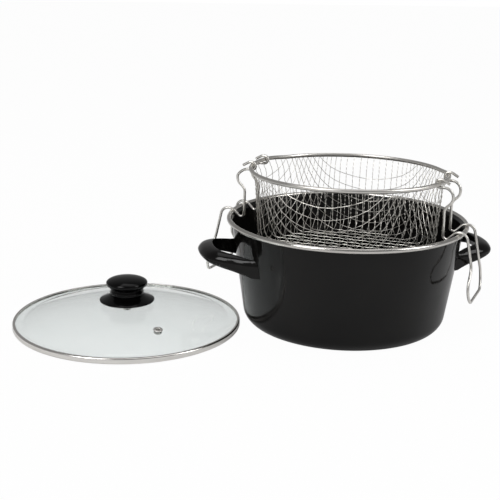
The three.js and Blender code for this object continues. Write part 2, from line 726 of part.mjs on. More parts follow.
function knobSkirt() {
  const foot = skirtFootZ;
  const top = foot + SKIRT_HEIGHT;
  const outer = [
    at(SKIRT_R, foot + 0.4), at(SKIRT_R, foot + 1.6), at(SKIRT_R * 0.86, foot + 3.4),
    at(SKIRT_R * 0.72, foot + 5.2), at(KNOB_NECK_R, top),
  ];
  const hollow = [
    at(SKIRT_BOSS_R, foot), at(SKIRT_BOSS_R, top - SKIRT_SHELL * 1.6),
    at(KNOB_NECK_R - 1, top - SKIRT_SHELL * 1.6), at(SKIRT_R * 0.86 - 0.6, foot + 3.4 - SKIRT_SHELL),
    at(SKIRT_R - SKIRT_SHELL, foot + 0.4),
  ];
  return turned([at(boltHoleR, foot), ...hollow, ...outer, at(boltHoleR, top)], KNOB_FACETS);
}

function knobGrip() {
  const crown = notchZ + KNOB_CAP_HEIGHT;
  const widest = notchZ + 6.2;
  const dome = arc(at(0, widest), 1, 0, Math.PI / 2, 6)
    .map((p) => at(p.x * KNOB_CAP_R, widest + (p.y - widest) * (crown - widest)));
  const bore = INSERT_R + SEAT_GAP;
  const boreTop = insertFootZ + INSERT_LENGTH + SEAT_GAP;
  return turned([
    at(0, boreTop), at(bore, boreTop), at(bore, neckFootZ), at(KNOB_NECK_R, neckFootZ),
    at(KNOB_NECK_R, neckFootZ + KNOB_NECK_HEIGHT * 0.55), at(KNOB_NOTCH_R, notchZ),
    at(KNOB_CAP_R * 0.86, notchZ + 1.6), at(KNOB_CAP_R * 0.98, notchZ + 4), ...dome,
  ], KNOB_FACETS);
}

function knobInsert() {
  const bore = boltHoleR;
  return turned([
    at(bore, insertFootZ), at(INSERT_R, insertFootZ), at(INSERT_R, insertFootZ + INSERT_LENGTH),
    at(0, insertFootZ + INSERT_LENGTH), at(0, insertFootZ + INSERT_LENGTH - 1.2),
    at(bore, insertFootZ + INSERT_LENGTH - 1.2),
  ], SMALL_FACETS);
}

const lowerSealTop = glassUnderside(SEAL_R) - SEAT_GAP;
const washerTop = lowerSealTop - SEAL_THICK - SEAT_GAP;
const headTop = washerTop - WASHER_THICK - SEAT_GAP;

function knobScrew() {
  const foot = headTop - SCREW_HEAD_HEIGHT;
  return turned([
    at(0, foot), at(SCREW_HEAD_R - 1, foot), at(SCREW_HEAD_R, foot + 1), at(SCREW_HEAD_R, headTop),
    at(SCREW_R, headTop), at(SCREW_R, insertFootZ + SCREW_REACH), at(0, insertFootZ + SCREW_REACH),
  ], SMALL_FACETS);
}

// ---------------------------------------------------------------- assembly

const pot = new THREE.Group();
pot.add(piece('pot_vessel', potVessel(), enamel()));
pot.add(piece('pot_rim_band', potRimBand(), brightSteel()));
for (const [name, turn] of [['pot_handle_right', 0], ['pot_handle_left', Math.PI]]) {
  const handle = piece(name, potHandle(), enamel());
  handle.rotation.z = turn;
  pot.add(handle);
}

const basket = new THREE.Group();
basket.add(piece('basket_rim_sleeve', basketSleeve(), brightSteel()));
basket.add(piece('basket_rim_wire', basketRingWire(), steelWire()));
basket.add(piece('basket_mesh', basketNet(), steelWire()));
basket.add(piece('basket_bail_right', bail(BAIL_RIGHT_TURN), steelWire()));
basket.add(piece('basket_bail_left', bail(BAIL_LEFT_TURN), steelWire()));

const lid = new THREE.Group();
const lidTop = 2 * (LID_BAND_SHEET + SEAT_GAP) + LID_GLASS;
lid.position.set(-potWallRadius(lidTop) - LID_APART - lidR, LID_Y, 0);
lid.add(piece('lid_glass', lidGlass(), finish(0xcfe0da, 0.05, 0)));
lid.add(piece('lid_rim_band', lidRimBand(), brightSteel()));
lid.add(piece('lid_vent_eyelet', lidVentEyelet(), brightSteel()));
lid.add(piece('knob_grip', knobGrip(), bakelite()));
lid.add(piece('knob_skirt', knobSkirt(), bakelite()));
lid.add(piece('knob_insert', knobInsert(), finish(0xb08d45, 0.35, 1)));
lid.add(piece('knob_screw', knobScrew(), steelWire()));
const rubber = () => finish(0xb9beba, 0.7, 0);
lid.add(piece('knob_seal_upper', disc(SEAL_R, crownZ + SEAT_GAP, SEAL_THICK, boltHoleR), rubber()));
lid.add(piece('knob_seal_lower', disc(SEAL_R, lowerSealTop - SEAL_THICK, SEAL_THICK, boltHoleR), rubber()));
lid.add(piece('knob_washer', disc(WASHER_R, washerTop - WASHER_THICK, WASHER_THICK, boltHoleR), steelWire()));

const group = new THREE.Group();
group.add(pot, basket, lid);

export default group;
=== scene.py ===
"""Looks of a stovetop deep fryer: enamelled pot, woven wire basket on bails, and a domed glass lid."""

from __future__ import annotations

import logging
import math
from dataclasses import dataclass, field
from enum import Enum
from typing import Iterable, Sequence

import bpy
import numpy as np
from mathutils import Matrix, Vector

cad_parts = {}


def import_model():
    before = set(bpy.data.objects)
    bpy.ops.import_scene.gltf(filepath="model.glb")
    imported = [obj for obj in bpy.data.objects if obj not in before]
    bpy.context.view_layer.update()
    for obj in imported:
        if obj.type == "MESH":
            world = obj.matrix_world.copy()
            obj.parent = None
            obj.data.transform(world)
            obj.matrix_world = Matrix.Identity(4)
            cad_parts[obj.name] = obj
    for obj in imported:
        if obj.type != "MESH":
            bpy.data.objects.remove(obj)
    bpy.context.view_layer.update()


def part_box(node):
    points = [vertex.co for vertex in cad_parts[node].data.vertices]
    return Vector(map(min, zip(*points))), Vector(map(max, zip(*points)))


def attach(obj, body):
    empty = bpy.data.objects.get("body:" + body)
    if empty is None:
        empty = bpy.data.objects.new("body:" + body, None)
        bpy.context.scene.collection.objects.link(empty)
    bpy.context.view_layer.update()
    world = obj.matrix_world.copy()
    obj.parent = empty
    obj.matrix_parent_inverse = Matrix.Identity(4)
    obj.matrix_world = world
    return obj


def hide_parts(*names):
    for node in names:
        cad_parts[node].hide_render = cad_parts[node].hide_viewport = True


LOG = logging.getLogger("deep_fryer")

Point = tuple[float, float, float]
Color = tuple[float, float, float]
Profile = list[tuple[float, float]]
Socket = bpy.types.NodeSocket
Tree = bpy.types.NodeTree
Piece = bpy.types.Object


class Body(Enum):
    """CAD bodies that the pieces ride on."""

    POT = "pot"
    BASKET = "basket"
    BAIL_LEFT = "bail_left"
    BAIL_RIGHT = "bail_right"
    LID = "lid"


class Slot(Enum):
    """Material slots of the record."""

    ENAMEL = "enamel"
    RIM_STEEL = "rim_steel"
    RING_STEEL = "ring_steel"
    NET_WIRE = "net_wire"
    BAIL_WIRE = "bail_wire"
    LID_GLASS = "lid_glass"
    LID_STEEL = "lid_steel"
    PHENOLIC = "phenolic"
    BRASS = "brass"
    SCREW_STEEL = "screw_steel"
    SILICONE = "silicone"


# ---- node trees


class Nodes:
    """Adds nodes to a tree and wires them."""

    def __init__(self, tree: Tree) -> None:
        """Takes the tree to build in."""
        self.tree = tree

    def put(self, socket: Socket, value: object) -> None:
        """Feeds a socket from another one, or sets it; a colour comes without its alpha.

        Args:
            socket: Input to feed or set.
            value: Feeding socket, number, vector or colour.
        """
        if isinstance(value, Socket):
            self.tree.links.new(value, socket)
        else:
            socket.default_value = (*value, 1.0) if socket.type == "RGBA" else value

    def add(self, kind: str, inputs: dict[str | int, object] | None = None, **settings: object) -> bpy.types.Node:
        """Adds a node.

        Args:
            kind: Type of the node; ShaderNode in front is left out.
            inputs: Value or feeding socket of each input, by name or number.
            **settings: Attributes set on the node.

        Returns:
            The new node.
        """
        made = self.tree.nodes.new(kind if kind.startswith("GeometryNode") else "ShaderNode" + kind)
        for key, value in settings.items():
            setattr(made, key, value)
        for key, value in (inputs or {}).items():
            self.put(made.inputs[key], value)
        return made

    def math(self, operation: str, *values: float | Socket) -> Socket:
        """Result of a math operation on numbers or sockets."""
        return self.add("Math", dict(enumerate(values)), operation=operation).outputs[0]


class GroupMaker(Nodes):
    """Builds one node group with named inputs and outputs."""

    def __init__(self, name: str, kind: str, inputs: dict[str, str | float]) -> None:
        """Starts a group.

        Args:
            name: Name of the group.
            kind: Type of its tree, Shader or Geometry.
            inputs: For each input, its default number or the kind of its socket.
        """
        super().__init__(bpy.data.node_groups.new(name, kind + "NodeTree"))
        for label, value in inputs.items():
            number = isinstance(value, float)
            socket = self.tree.interface.new_socket(name=label, in_out="INPUT",
                                                    socket_type="NodeSocket" + ("Float" if number else value))
            if number:
                socket.default_value = value
        self.start = self.tree.nodes.new("NodeGroupInput")
        self.end = self.tree.nodes.new("NodeGroupOutput")

    def give(self, name: str, source: Socket, kind: str = "Float") -> None:
        """Adds a named output of a kind and feeds it."""
        self.tree.interface.new_socket(name=name, in_out="OUTPUT", socket_type="NodeSocket" + kind)
        self.put(self.end.inputs[name], source)


def cloudy_group() -> Tree:
    """Builds the group for soft uneven patches, such as smears, firing clouds and handling marks.

    Returns:
        Group with a Value between Low and High.
    """
    maker = GroupMaker("cloudy patches", "Shader", {"Scale": 40.0, "Detail": 3.0, "Low": 0.0, "High": 1.0})
    take = maker.start.outputs
    where = maker.add("TexCoord").outputs["Object"]
    noise = maker.add("TexNoise", {"Vector": where, "Scale": take["Scale"], "Detail": take["Detail"]})
    spread = maker.add("MapRange", {
        "Value": noise.outputs["Fac"], "From Min": 0.35, "From Max": 0.65, "To Min": take["Low"],
        "To Max": take["High"]}, clamp=True)
    maker.give("Value", spread.outputs["Result"])
    return maker.tree


def ripple_group() -> Tree:
    """Builds the group for a fired or moulded surface that is not quite flat.

    Returns:
        Group with a Height made of a broad swell and a fine orange peel.
    """
    maker = GroupMaker("flow ripple", "Shader", {"Swell Scale": 25.0, "Peel Scale": 420.0, "Peel Share": 0.3})
    take = maker.start.outputs
    where = maker.add("TexCoord").outputs["Object"]
    swell, peel = (
        maker.add("TexNoise", {"Vector": where, "Scale": take[scale], "Detail": detail}).outputs["Fac"]
        for scale, detail in (("Swell Scale", 1.0), ("Peel Scale", 2.0)))
    fine = maker.math("MULTIPLY", peel, take["Peel Share"])
    broad = maker.math("MULTIPLY", swell, maker.math("SUBTRACT", 1.0, take["Peel Share"]))
    maker.give("Height", maker.math("ADD", fine, broad))
    return maker.tree


def lathe_group() -> Tree:
    """Builds the group for the marks that turning, rolling or polishing leaves round an axis.

    Returns:
        Group with a Height and a Streak value.
    """
    maker = GroupMaker("turned marks", "Shader", {"Centre": "Vector", "Fineness": 2200.0, "Round Scale": 2.0})
    take = maker.start.outputs
    where = maker.add("TexCoord").outputs["Object"]
    shifted = maker.add("VectorMath", {0: where, 1: take["Centre"]}, operation="SUBTRACT")
    x, y, z = maker.add("SeparateXYZ", {0: shifted.outputs[0]}).outputs
    radius = maker.math("SQRT", maker.math("ADD", maker.math("MULTIPLY", x, x), maker.math("MULTIPLY", y, y)))
    packed = maker.add("CombineXYZ", {
        0: maker.math("MULTIPLY", radius, take["Fineness"]), 1: maker.math("MULTIPLY", z, take["Fineness"]),
        2: maker.math("MULTIPLY", maker.math("ARCTAN2", y, x), take["Round Scale"])})
    noise = maker.add("TexNoise", {"Vector": packed.outputs[0], "Scale": 1.0, "Detail": 2.0})
    streak = maker.add("MapRange", {"Value": noise.outputs["Fac"], "From Min": 0.3, "From Max": 0.7},
                       clamp=True)
    maker.give("Height", noise.outputs["Fac"])
    maker.give("Streak", streak.outputs["Result"])
    return maker.tree


class Groups:
    """The shared shader groups, each built once."""

    def __init__(self) -> None:
        """Builds every shared group."""
        self.cloudy = cloudy_group()
        self.ripple = ripple_group()
        self.lathe = lathe_group()


# ---- finishes


@dataclass(frozen=True)
class Finish:
    """Two tones in soft patches, uneven gloss and a little relief.

    Attributes:
        name: Name of the material.
        tones: The two colours that the patches mix.
        rough: Lowest and highest roughness.
        patches: Scale and detail of the patches of tone.
        wear: Scale and detail of the patches of gloss.
        ripple: Scale of the swell, scale of the peel, and the peel's share of the relief.
        relief: Depth of the relief, in metres.
        metallic: Share of metal.
        specular: Strength of the plain gloss.
        transmission: Share of light let through.
    """

    name: str
    tones: tuple[Color, Color]
    rough: tuple[float, float]
    patches: tuple[float, float] = (90.0, 3.0)
    wear: tuple[float, float] = (120.0, 4.0)
    ripple: Point = (60.0, 500.0, 0.3)
    relief: float = 0.00006
    metallic: float = 0.0
    specular: float = 0.5
    transmission: float = 0.0

    def pattern(self, nodes: Nodes, groups: Groups) -> tuple[Socket, Socket]:
        """Adds what varies over the surface.

        Args:
            nodes: The material's nodes.
            groups: The shared groups.

        Returns:
            Mask between the two tones, and height of the relief.
        """
        scale, detail = self.patches
        swell, peel, share = self.ripple
        patches = nodes.add("Group", {"Scale": scale, "Detail": detail}, node_tree=groups.cloudy)
        ripple = nodes.add("Group", {"Swell Scale": swell, "Peel Scale": peel, "Peel Share": share},
                           node_tree=groups.ripple)
        return patches.outputs["Value"], ripple.outputs["Height"]

    def build(self, groups: Groups) -> bpy.types.Material:
        """Builds the material from the shared groups.

        Args:
            groups: The shared groups.

        Returns:
            The material.
        """
        material = bpy.data.materials.new(self.name)
        material.use_nodes = True
        nodes = Nodes(material.node_tree)
        surface = material.node_tree.nodes["Principled BSDF"].inputs
        surface["Metallic"].default_value = self.metallic
        surface["Specular IOR Level"].default_value = self.specular
        surface["Transmission Weight"].default_value = self.transmission
        mask, height = self.pattern(nodes, groups)
        tone = nodes.add("Mix", {0: mask, 6: self.tones[0], 7: self.tones[1]}, data_type="RGBA")
        wear = nodes.add("Group", {"Scale": self.wear[0], "Detail": self.wear[1], "Low": self.rough[0],
                                             "High": self.rough[1]}, node_tree=groups.cloudy)
        bump = nodes.add("Bump", {"Height": height, "Distance": self.relief, "Strength": 1.0})
        nodes.put(surface["Base Color"], tone.outputs[2])
        nodes.put(surface["Roughness"], wear.outputs["Value"])
        nodes.put(surface["Normal"], bump.outputs["Normal"])
        return material


@dataclass(frozen=True)
class EnamelFinish(Finish):
    """Black vitreous enamel: deep gloss with a slow swell from firing."""

    name: str = "black vitreous enamel"
    tones: tuple[Color, Color] = ((0.0035, 0.0033, 0.0032), (0.0060, 0.0056, 0.0052))
    rough: tuple[float, float] = (0.045, 0.11)
    patches: tuple[float, float] = (18.0, 4.0)
    wear: tuple[float, float] = (55.0, 5.0)
    ripple: Point = (22.0, 380.0, 0.05)
    relief: float = 0.0008
    specular: float = 0.22


@dataclass(frozen=True)
class SteelFinish(Finish):
    """Bright steel, rolled or turned round an axis."""

    tones: tuple[Color, Color] = ((0.74, 0.72, 0.69), (0.86, 0.84, 0.81))
    rough: tuple[float, float] = (0.18, 0.28)
    wear: tuple[float, float] = (70.0, 4.0)
    relief: float = 0.0000015
    metallic: float = 1.0
    centre: Point = (0.0, 0.0, 0.0)
    fineness: float = 500.0

    def pattern(self, nodes: Nodes, groups: Groups) -> tuple[Socket, Socket]:
        """Mask of the streaks and height of the marks round the axis."""
        marks = nodes.add("Group", {"Centre": self.centre, "Fineness": self.fineness},
                          node_tree=groups.lathe)
        return marks.outputs["Streak"], marks.outputs["Height"]


@dataclass(frozen=True)
class WireFinish(Finish):
    """Drawn and plated wire, a little uneven along its length."""

    tones: tuple[Color, Color] = ((0.74, 0.72, 0.68), (0.86, 0.84, 0.80))
    rough: tuple[float, float] = (0.26, 0.36)
    patches: tuple[float, float] = (60.0, 4.0)
    wear: tuple[float, float] = (150.0, 3.0)
    ripple: Point = (300.0, 2600.0, 0.5)
    relief: float = 0.000012
    metallic: float = 1.0


@dataclass(frozen=True)
class GlassFinish(Finish):
    """Clear tempered glass with a faint green cast and a few smears."""

    name: str = "tempered glass"
    tones: tuple[Color, Color] = ((0.962, 0.998, 0.990), (0.938, 0.980, 0.970))
    rough: tuple[float, float] = (0.0, 0.035)
    patches: tuple[float, float] = (22.0, 5.0)
    wear: tuple[float, float] = (35.0, 4.0)
    ripple: Point = (14.0, 90.0, 0.1)
    relief: float = 0.0002
    transmission: float = 1.0


@dataclass(frozen=True)
class MouldedFinish(Finish):
    """Moulded plastic or rubber."""


# ---- mesh helpers


def unit(vectors: np.ndarray) -> np.ndarray:
    """Vectors scaled to length one."""
    return vectors / np.linalg.norm(vectors, axis=-1, keepdims=True)


def filleted(corners: Sequence[Point], closed: bool, turn: float = 0.2) -> Profile:
    """Rounds the corners of a section.

    Args:
        corners: Points as radius, height and bend radius of the corner.
        closed: Whether the last point joins the first.
        turn: Largest turn of one facet of a bend, in radians.

    Returns:
        Points of the rounded section.
    """
    points = [np.array(c[:2]) for c in corners]
    count = len(points)
    out: Profile = []
    for i, point in enumerate(points):
        bend, opening = corners[i][2], math.pi
        if bend > 0 and (closed or 0 < i < count - 1):
            before, after = points[i - 1] - point, points[(i + 1) % count] - point
            room = min(np.linalg.norm(before), np.linalg.norm(after)) * 0.499
            before, after = unit(before), unit(after)
            opening = math.acos(float(np.clip(before @ after, -1, 1)))
        if opening > math.pi - 1e-3:
            out.append((float(point[0]), float(point[1])))
            continue
        bend = min(bend, room * math.tan(opening / 2))
        centre = point + unit(before + after) * bend / math.sin(opening / 2)
        first = point + before * bend / math.tan(opening / 2) - centre
        last = point + after * bend / math.tan(opening / 2) - centre
        start = math.atan2(first[1], first[0])
        sweep = (math.atan2(last[1], last[0]) - start + math.pi) % (2 * math.pi) - math.pi
        steps = max(2, math.ceil(abs(sweep) / turn))
        for k in range(steps + 1):
            angle = start + sweep * k / steps
            out.append((float(centre[0] + bend * math.cos(angle)), float(centre[1] + bend * math.sin(angle))))
    return out


def arc(centre: tuple[float, float], radius: float, start: float, end: float, steps: int) -> Profile:
    """Points of an arc in a section, angles in degrees."""
    angles = np.radians(np.linspace(start, end, steps + 1))
    return [(centre[0] + radius * math.cos(a), centre[1] + radius * math.sin(a)) for a in angles]


def catmull(points: np.ndarray, shares: np.ndarray) -> np.ndarray:
    """Points of a smooth curve through given ones.

    Args:
        points: Points that the curve passes, one a row.
        shares: Places along the curve, 0 at the first point and 1 at the last.

    Returns:
        One point a row.
    """
    padded = np.vstack([2 * points[0] - points[1], points, 2 * points[-1] - points[-2]])
    place = np.clip(shares, 0, 1) * (len(points) - 1)
    index = np.minimum(place.astype(int), len(points) - 2)
    t = (place - index)[:, None]
    a, b, c, d = (padded[index + k] for k in range(4))
    return 0.5 * (2 * b + (c - a) * t + (2 * a - 5 * b + 4 * c - d) * t**2 + (3 * b - a - 3 * c + d) * t**3)


def smooth(mesh: bpy.types.Mesh, angle: float) -> None:
    """Shades a mesh smooth and keeps edges sharp that turn more than an angle in degrees."""
    mesh.polygons.foreach_set("use_smooth", [True] * len(mesh.polygons))
    mesh.set_sharp_from_angle(angle=math.radians(angle))


def new_object(name: str, vertices: np.ndarray, faces: Iterable[Sequence[int]], smooth_angle: float = 40.0,
               edges: Iterable[Sequence[int]] = ()) -> Piece:
    """Makes an object at the origin from points and faces.

    Args:
        name: Name of the object and mesh.
        vertices: Points, one a row, in metres.
        faces: Corners of each face.
        smooth_angle: Edges that turn more than this many degrees stay sharp.
        edges: Loose edges, for wires.

    Returns:
        The linked object.
    """
    mesh = bpy.data.meshes.new(name)
    mesh.from_pydata([tuple(map(float, v)) for v in vertices], [tuple(e) for e in edges], [tuple(f) for f in faces])
    mesh.validate()
    if len(mesh.polygons):
        smooth(mesh, smooth_angle)
    mesh.update()
    made = bpy.data.objects.new(name, mesh)
    bpy.context.scene.collection.objects.link(made)
    return made


def baked(made: Piece) -> Piece:
    """Turns an object's modifiers into a plain mesh.

    Args:
        made: The object.

    Returns:
        The same object with no modifier left on it.
    """
    bpy.context.view_layer.update()
    graph = bpy.context.evaluated_depsgraph_get()
    mesh = bpy.data.meshes.new_from_object(made.evaluated_get(graph), depsgraph=graph)
    mesh.name = made.name
    made.modifiers.clear()
    made.data = mesh
    return made


def spun(points: np.ndarray, turn: float) -> np.ndarray:
    """Points turned about the vertical axis by an angle, one a row."""
    cos, sin = math.cos(turn), math.sin(turn)
    return points @ np.array([[cos, sin, 0.0], [-sin, cos, 0.0], [0.0, 0.0, 1.0]])


def solid(name: str, vertices: np.ndarray, faces: Sequence[Sequence[int]], smooth_angle: float) -> Piece:
    """Makes a closed object as new_object does, with its faces turned outwards.

    Args:
        name: Name of the object.
        vertices: Points, one a row.
        faces: Corners of each face, all turned one way.
        smooth_angle: Edges that turn more than this many degrees stay sharp.

    Returns:
        The linked object.
    """
    volume = sum(float(np.dot(vertices[face[0]], np.cross(vertices[face[k]], vertices[face[k + 1]])))
                 for face in faces for k in range(1, len(face) - 1))
    if volume < 0:
        faces = [tuple(reversed(face)) for face in faces]
    return new_object(name, vertices, faces, smooth_angle)


def turned(name: str, profile: Profile, closed: bool, centre: tuple[float, float] = (0.0, 0.0),
           segments: int = 160, smooth_angle: float = 40.0) -> Piece:
    """Turns a section about a vertical axis.

    Args:
        name: Name of the object.
        profile: Points as radius and height.
        closed: Whether the section closes on itself; otherwise it starts and ends on the axis.
        centre: Place of the axis.
        segments: Facets round the axis.
        smooth_angle: Edges that turn more than this many degrees stay sharp.

    Returns:
        A closed mesh object with its faces outwards.
    """
    angles = np.linspace(0, 2 * math.pi, segments, endpoint=False)
    vertices: list[Point] = []
    rings: list[list[int]] = []
    for radius, height in profile:
        on_axis = radius < 1e-7
        around = [0.0] if on_axis else angles
        rings.append([len(vertices) + (0 if on_axis else k) for k in range(segments)])
        vertices += [(centre[0] + radius * math.cos(a), centre[1] + radius * math.sin(a), height) for a in around]
    faces: list[tuple[int, ...]] = []
    for low, high in list(zip(rings, rings[1:])) + ([(rings[-1], rings[0])] if closed else []):
        for k in range(segments):
            n = (k + 1) % segments
            face = tuple(dict.fromkeys((low[k], low[n], high[n], high[k])))
            if len(face) > 2:
                faces.append(face)
    return solid(name, np.array(vertices), faces, smooth_angle)


def crimped_strip(name: str, centre: tuple[float, float], radius: float, sheet: float, facing: float,
                  mouth: float, steps: int, segments: int) -> Piece:
    """Turns a C-shaped strip that is rolled round an edge.

    Args:
        name: Name of the object.
        centre: Radius and height of the middle of the roll.
        radius: Outer radius of the roll.
        sheet: Thickness of the strip.
        facing: Direction in which the roll is open, in degrees.
        mouth: Angle of the opening, in degrees.
        steps: Facets of the roll outside; inside it has eight fewer.
        segments: Facets round the axis.

    Returns:
        A closed mesh object.
    """
    start, end = facing + mouth / 2, facing + 360 - mouth / 2
    section = arc(centre, radius, start, end, steps) + arc(centre, radius - sheet, end, start, steps - 8)
    return turned(name, section, closed=True, segments=segments, smooth_angle=50)


def bent_path(corners: Sequence[tuple[Sequence[float], float]], turn: float = 0.14) -> np.ndarray:
    """Centre line of a bent wire: straight runs with round bends.

    Args:
        corners: Each corner's point and bend radius, in metres.
        turn: Largest turn of one facet, in radians.

    Returns:
        Points along the line, one a row.
    """
    points = [np.array(p, float) for p, _ in corners]
    line = [points[0]]
    for i in range(1, len(points) - 1):
        corner, bend = points[i], corners[i][1]
        incoming, leaving = unit(corner - points[i - 1]), unit(points[i + 1] - corner)
        angle = math.acos(float(np.clip(incoming @ leaving, -1, 1)))
        start = corner - incoming * bend * math.tan(angle / 2)
        axis = unit(np.cross(incoming, leaving))
        centre = start + np.cross(axis, incoming) * bend
        steps = max(1, math.ceil(angle / turn))
        for k in range(steps + 1):
            spin = Matrix.Rotation(angle * k / steps, 3, Vector(axis))
            line.append(centre + np.array(spin @ Vector(start - centre)))
    line.append(points[-1])
    return np.array(line)


# ---- geometry nodes


class WireTree:
    """Geometry Nodes that sweep a round wire along every run of edges of a mesh."""

    def __init__(self) -> None:
        """Builds the tree once, with named inputs for its sizes."""
        maker = GroupMaker("sweep wires", "Geometry", {
            "Geometry": "Geometry", "Wire Radius": "Float", "Sides": "Int", "Crimp": "Float", "Material": "Material"})
        self.tree = maker.tree
        self.tree.is_modifier = True
        take = maker.start.outputs
        lift = maker.add("GeometryNodeInputNamedAttribute", {"Name": "lift"}, data_type="FLOAT_VECTOR")
        push = maker.add("VectorMath", {0: lift.outputs["Attribute"], "Scale": take["Crimp"]}, operation="SCALE")
        moved = maker.add("GeometryNodeSetPosition", {"Geometry": take["Geometry"], "Offset": push.outputs[0]})
        curve = maker.add("GeometryNodeMeshToCurve", {"Mesh": moved.outputs[0]})
        rounded = maker.add("GeometryNodeCurveSplineType", {"Curve": curve.outputs[0]}, spline_type="CATMULL_ROM")
        fine = maker.add("GeometryNodeSetSplineResolution", {"Geometry": rounded.outputs[0], "Resolution": 1})
        ring = maker.add("GeometryNodeCurvePrimitiveCircle", {
            "Resolution": take["Sides"], "Radius": take["Wire Radius"]})
        swept = maker.add("GeometryNodeCurveToMesh", {
            "Curve": fine.outputs[0], "Profile Curve": ring.outputs[0], "Fill Caps": True})
        whole = maker.add("GeometryNodeRealizeInstances", {"Geometry": swept.outputs[0]})
        dressed = maker.add("GeometryNodeSetMaterial", {"Geometry": whole.outputs[0], "Material": take["Material"]})
        maker.give("Geometry", dressed.outputs[0], "Geometry")

    def sweep(self, name: str, runs: Sequence[np.ndarray], radius: float, material: bpy.types.Material,
              sides: int, lifts: Sequence[np.ndarray] | None = None, crimp: float = 0.0,
              loops: bool = False) -> Piece:
        """Sweeps wires and keeps the result as a plain mesh.

        Args:
            name: Name of the object.
            runs: Centre line of each wire.
            radius: Radius of the wire.
            material: Finish of the wire.
            sides: Facets round the wire.
            lifts: For each run, the way each point is pushed by the crimp.
            crimp: How far it is pushed.
            loops: Whether each run closes on itself.

        Returns:
            A mesh object with no modifier left on it.
        """
        points = np.vstack(runs)
        edges, first = [], 0
        for run in runs:
            count = len(run)
            edges += [(first + k, first + (k + 1) % count) for k in range(count if loops else count - 1)]
            first += count
        made = new_object(name, points, [], edges=edges)
        push = np.zeros_like(points) if lifts is None else np.vstack(lifts)
        attribute = made.data.attributes.new("lift", "FLOAT_VECTOR", "POINT")
        attribute.data.foreach_set("vector", push.astype(np.float32).ravel())
        modifier = made.modifiers.new(self.tree.name, "NODES")
        modifier.node_group = self.tree
        values = {"Wire Radius": radius, "Sides": sides, "Crimp": crimp, "Material": material}
        for item in self.tree.interface.items_tree:
            if item.item_type == "SOCKET" and item.in_out == "INPUT" and item.name in values:
                modifier[item.identifier] = values[item.name]
        mesh = baked(made).data
        smooth(mesh, 50.0)
        mesh.update()
        return made


# ---- workshop


@dataclass
class Workshop:
    """What every sub-assembly needs: shared groups, the wire tree and the built finishes."""

    groups: Groups = field(default_factory=Groups)
    wires: WireTree = field(default_factory=WireTree)
    finishes: dict[str, bpy.types.Material] = field(default_factory=dict)

    def material(self, finish: Finish) -> bpy.types.Material:
        """Material of a finish, built once.

        Args:
            finish: The finish.

        Returns:
            Its material.
        """
        if finish.name not in self.finishes:
            self.finishes[finish.name] = finish.build(self.groups)
        return self.finishes[finish.name]

    def place(self, piece: Piece, body: Body, slot: Slot, node: str, finish: Finish | None = None) -> None:
        """Dresses a finished piece and ties it to the frame.

        Args:
            piece: The piece, at the origin.
            body: CAD body that it rides on.
            slot: Material slot of the record; not used.
            node: CAD node that it replaces.
            finish: Its finish, or None where it already has one.
        """
        if finish is not None:
            piece.data.materials.clear()
            piece.data.materials.append(self.material(finish))
        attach(piece, body.value)
        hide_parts(node)
        LOG.info("%s on %s: %d faces", piece.name, body.value, len(piece.data.polygons))


# ---- pot


@dataclass
class Pot:
    """The enamelled pot with its rim band, sizes in metres."""

    edge_height: float = 0.1106
    edge_radius: float = 0.1233
    wall: float = 0.0016
    floor: float = 0.0024
    lean: float = math.radians(8.4)
    wall_top_radius: float = 0.1212
    corner: float = 0.016
    shoulder_drop: float = 0.0034
    shoulder_bend: float = 0.004
    inner_bend: float = 0.003
    roll: float = 0.00165
    gap: float = 0.0003
    band_sheet: float = 0.0005
    band_facing: float = 205.0
    band_mouth: float = 74.0

    def wall_radius(self, height: float | np.ndarray) -> float | np.ndarray:
        """Outer radius of the leaning wall at a height."""
        return self.wall_top_radius - math.tan(self.lean) * (self.edge_height - height)

    def vessel(self) -> Piece:
        """Builds the pot: one drawn shell with a rolled edge.

        Returns:
            A closed mesh.
        """
        slant = self.wall / math.cos(self.lean)
        shoulder = self.edge_height - self.shoulder_drop
        inner_shoulder = shoulder + 0.001
        outside = filleted([
            (0.0, 0.0, 0.0),
            (float(self.wall_radius(0.0)), 0.0, self.corner),
            (float(self.wall_radius(shoulder)), shoulder, self.shoulder_bend),
            (self.edge_radius - 0.0009, self.edge_height - 0.0014, 0.0),
        ], closed=False, turn=0.12)
        lip = arc((self.edge_radius, self.edge_height), self.roll, -118, 160, 26)
        inside = filleted([
            (self.edge_radius - self.roll, self.edge_height - 0.0002, 0.0),
            (float(self.wall_radius(inner_shoulder)) - slant, inner_shoulder, self.inner_bend),
            (float(self.wall_radius(self.floor)) - slant, self.floor, self.corner - self.wall),
            (0.0, self.floor, 0.0),
        ], closed=False, turn=0.12)
        return turned("pot_shell", outside + lip + inside, closed=False, segments=224, smooth_angle=60)

    def rim_band(self) -> Piece:
        """Builds the band crimped round the rolled edge."""
        return crimped_strip("pot_rim_crimp", (self.edge_radius, self.edge_height),
                             self.roll + self.gap + self.band_sheet, self.band_sheet, self.band_facing,
                             self.band_mouth, 40, 224)

    def build(self, shop: Workshop) -> None:
        """Builds and dresses the pot's pieces and its handles.

        Args:
            shop: The workshop.
        """
        enamel, handle = EnamelFinish(), Handle(self)
        band = SteelFinish("pot rim steel", ((0.58, 0.56, 0.53), (0.70, 0.68, 0.65)), (0.12, 0.20))
        shop.place(self.vessel(), Body.POT, Slot.ENAMEL, "pot_vessel", enamel)
        shop.place(self.rim_band(), Body.POT, Slot.RIM_STEEL, "pot_rim_band", band)
        for side, word in ((1, "right"), (-1, "left")):
            shop.place(handle.build(f"{word}_d_handle", side), Body.POT, Slot.ENAMEL, f"pot_handle_{word}", enamel)


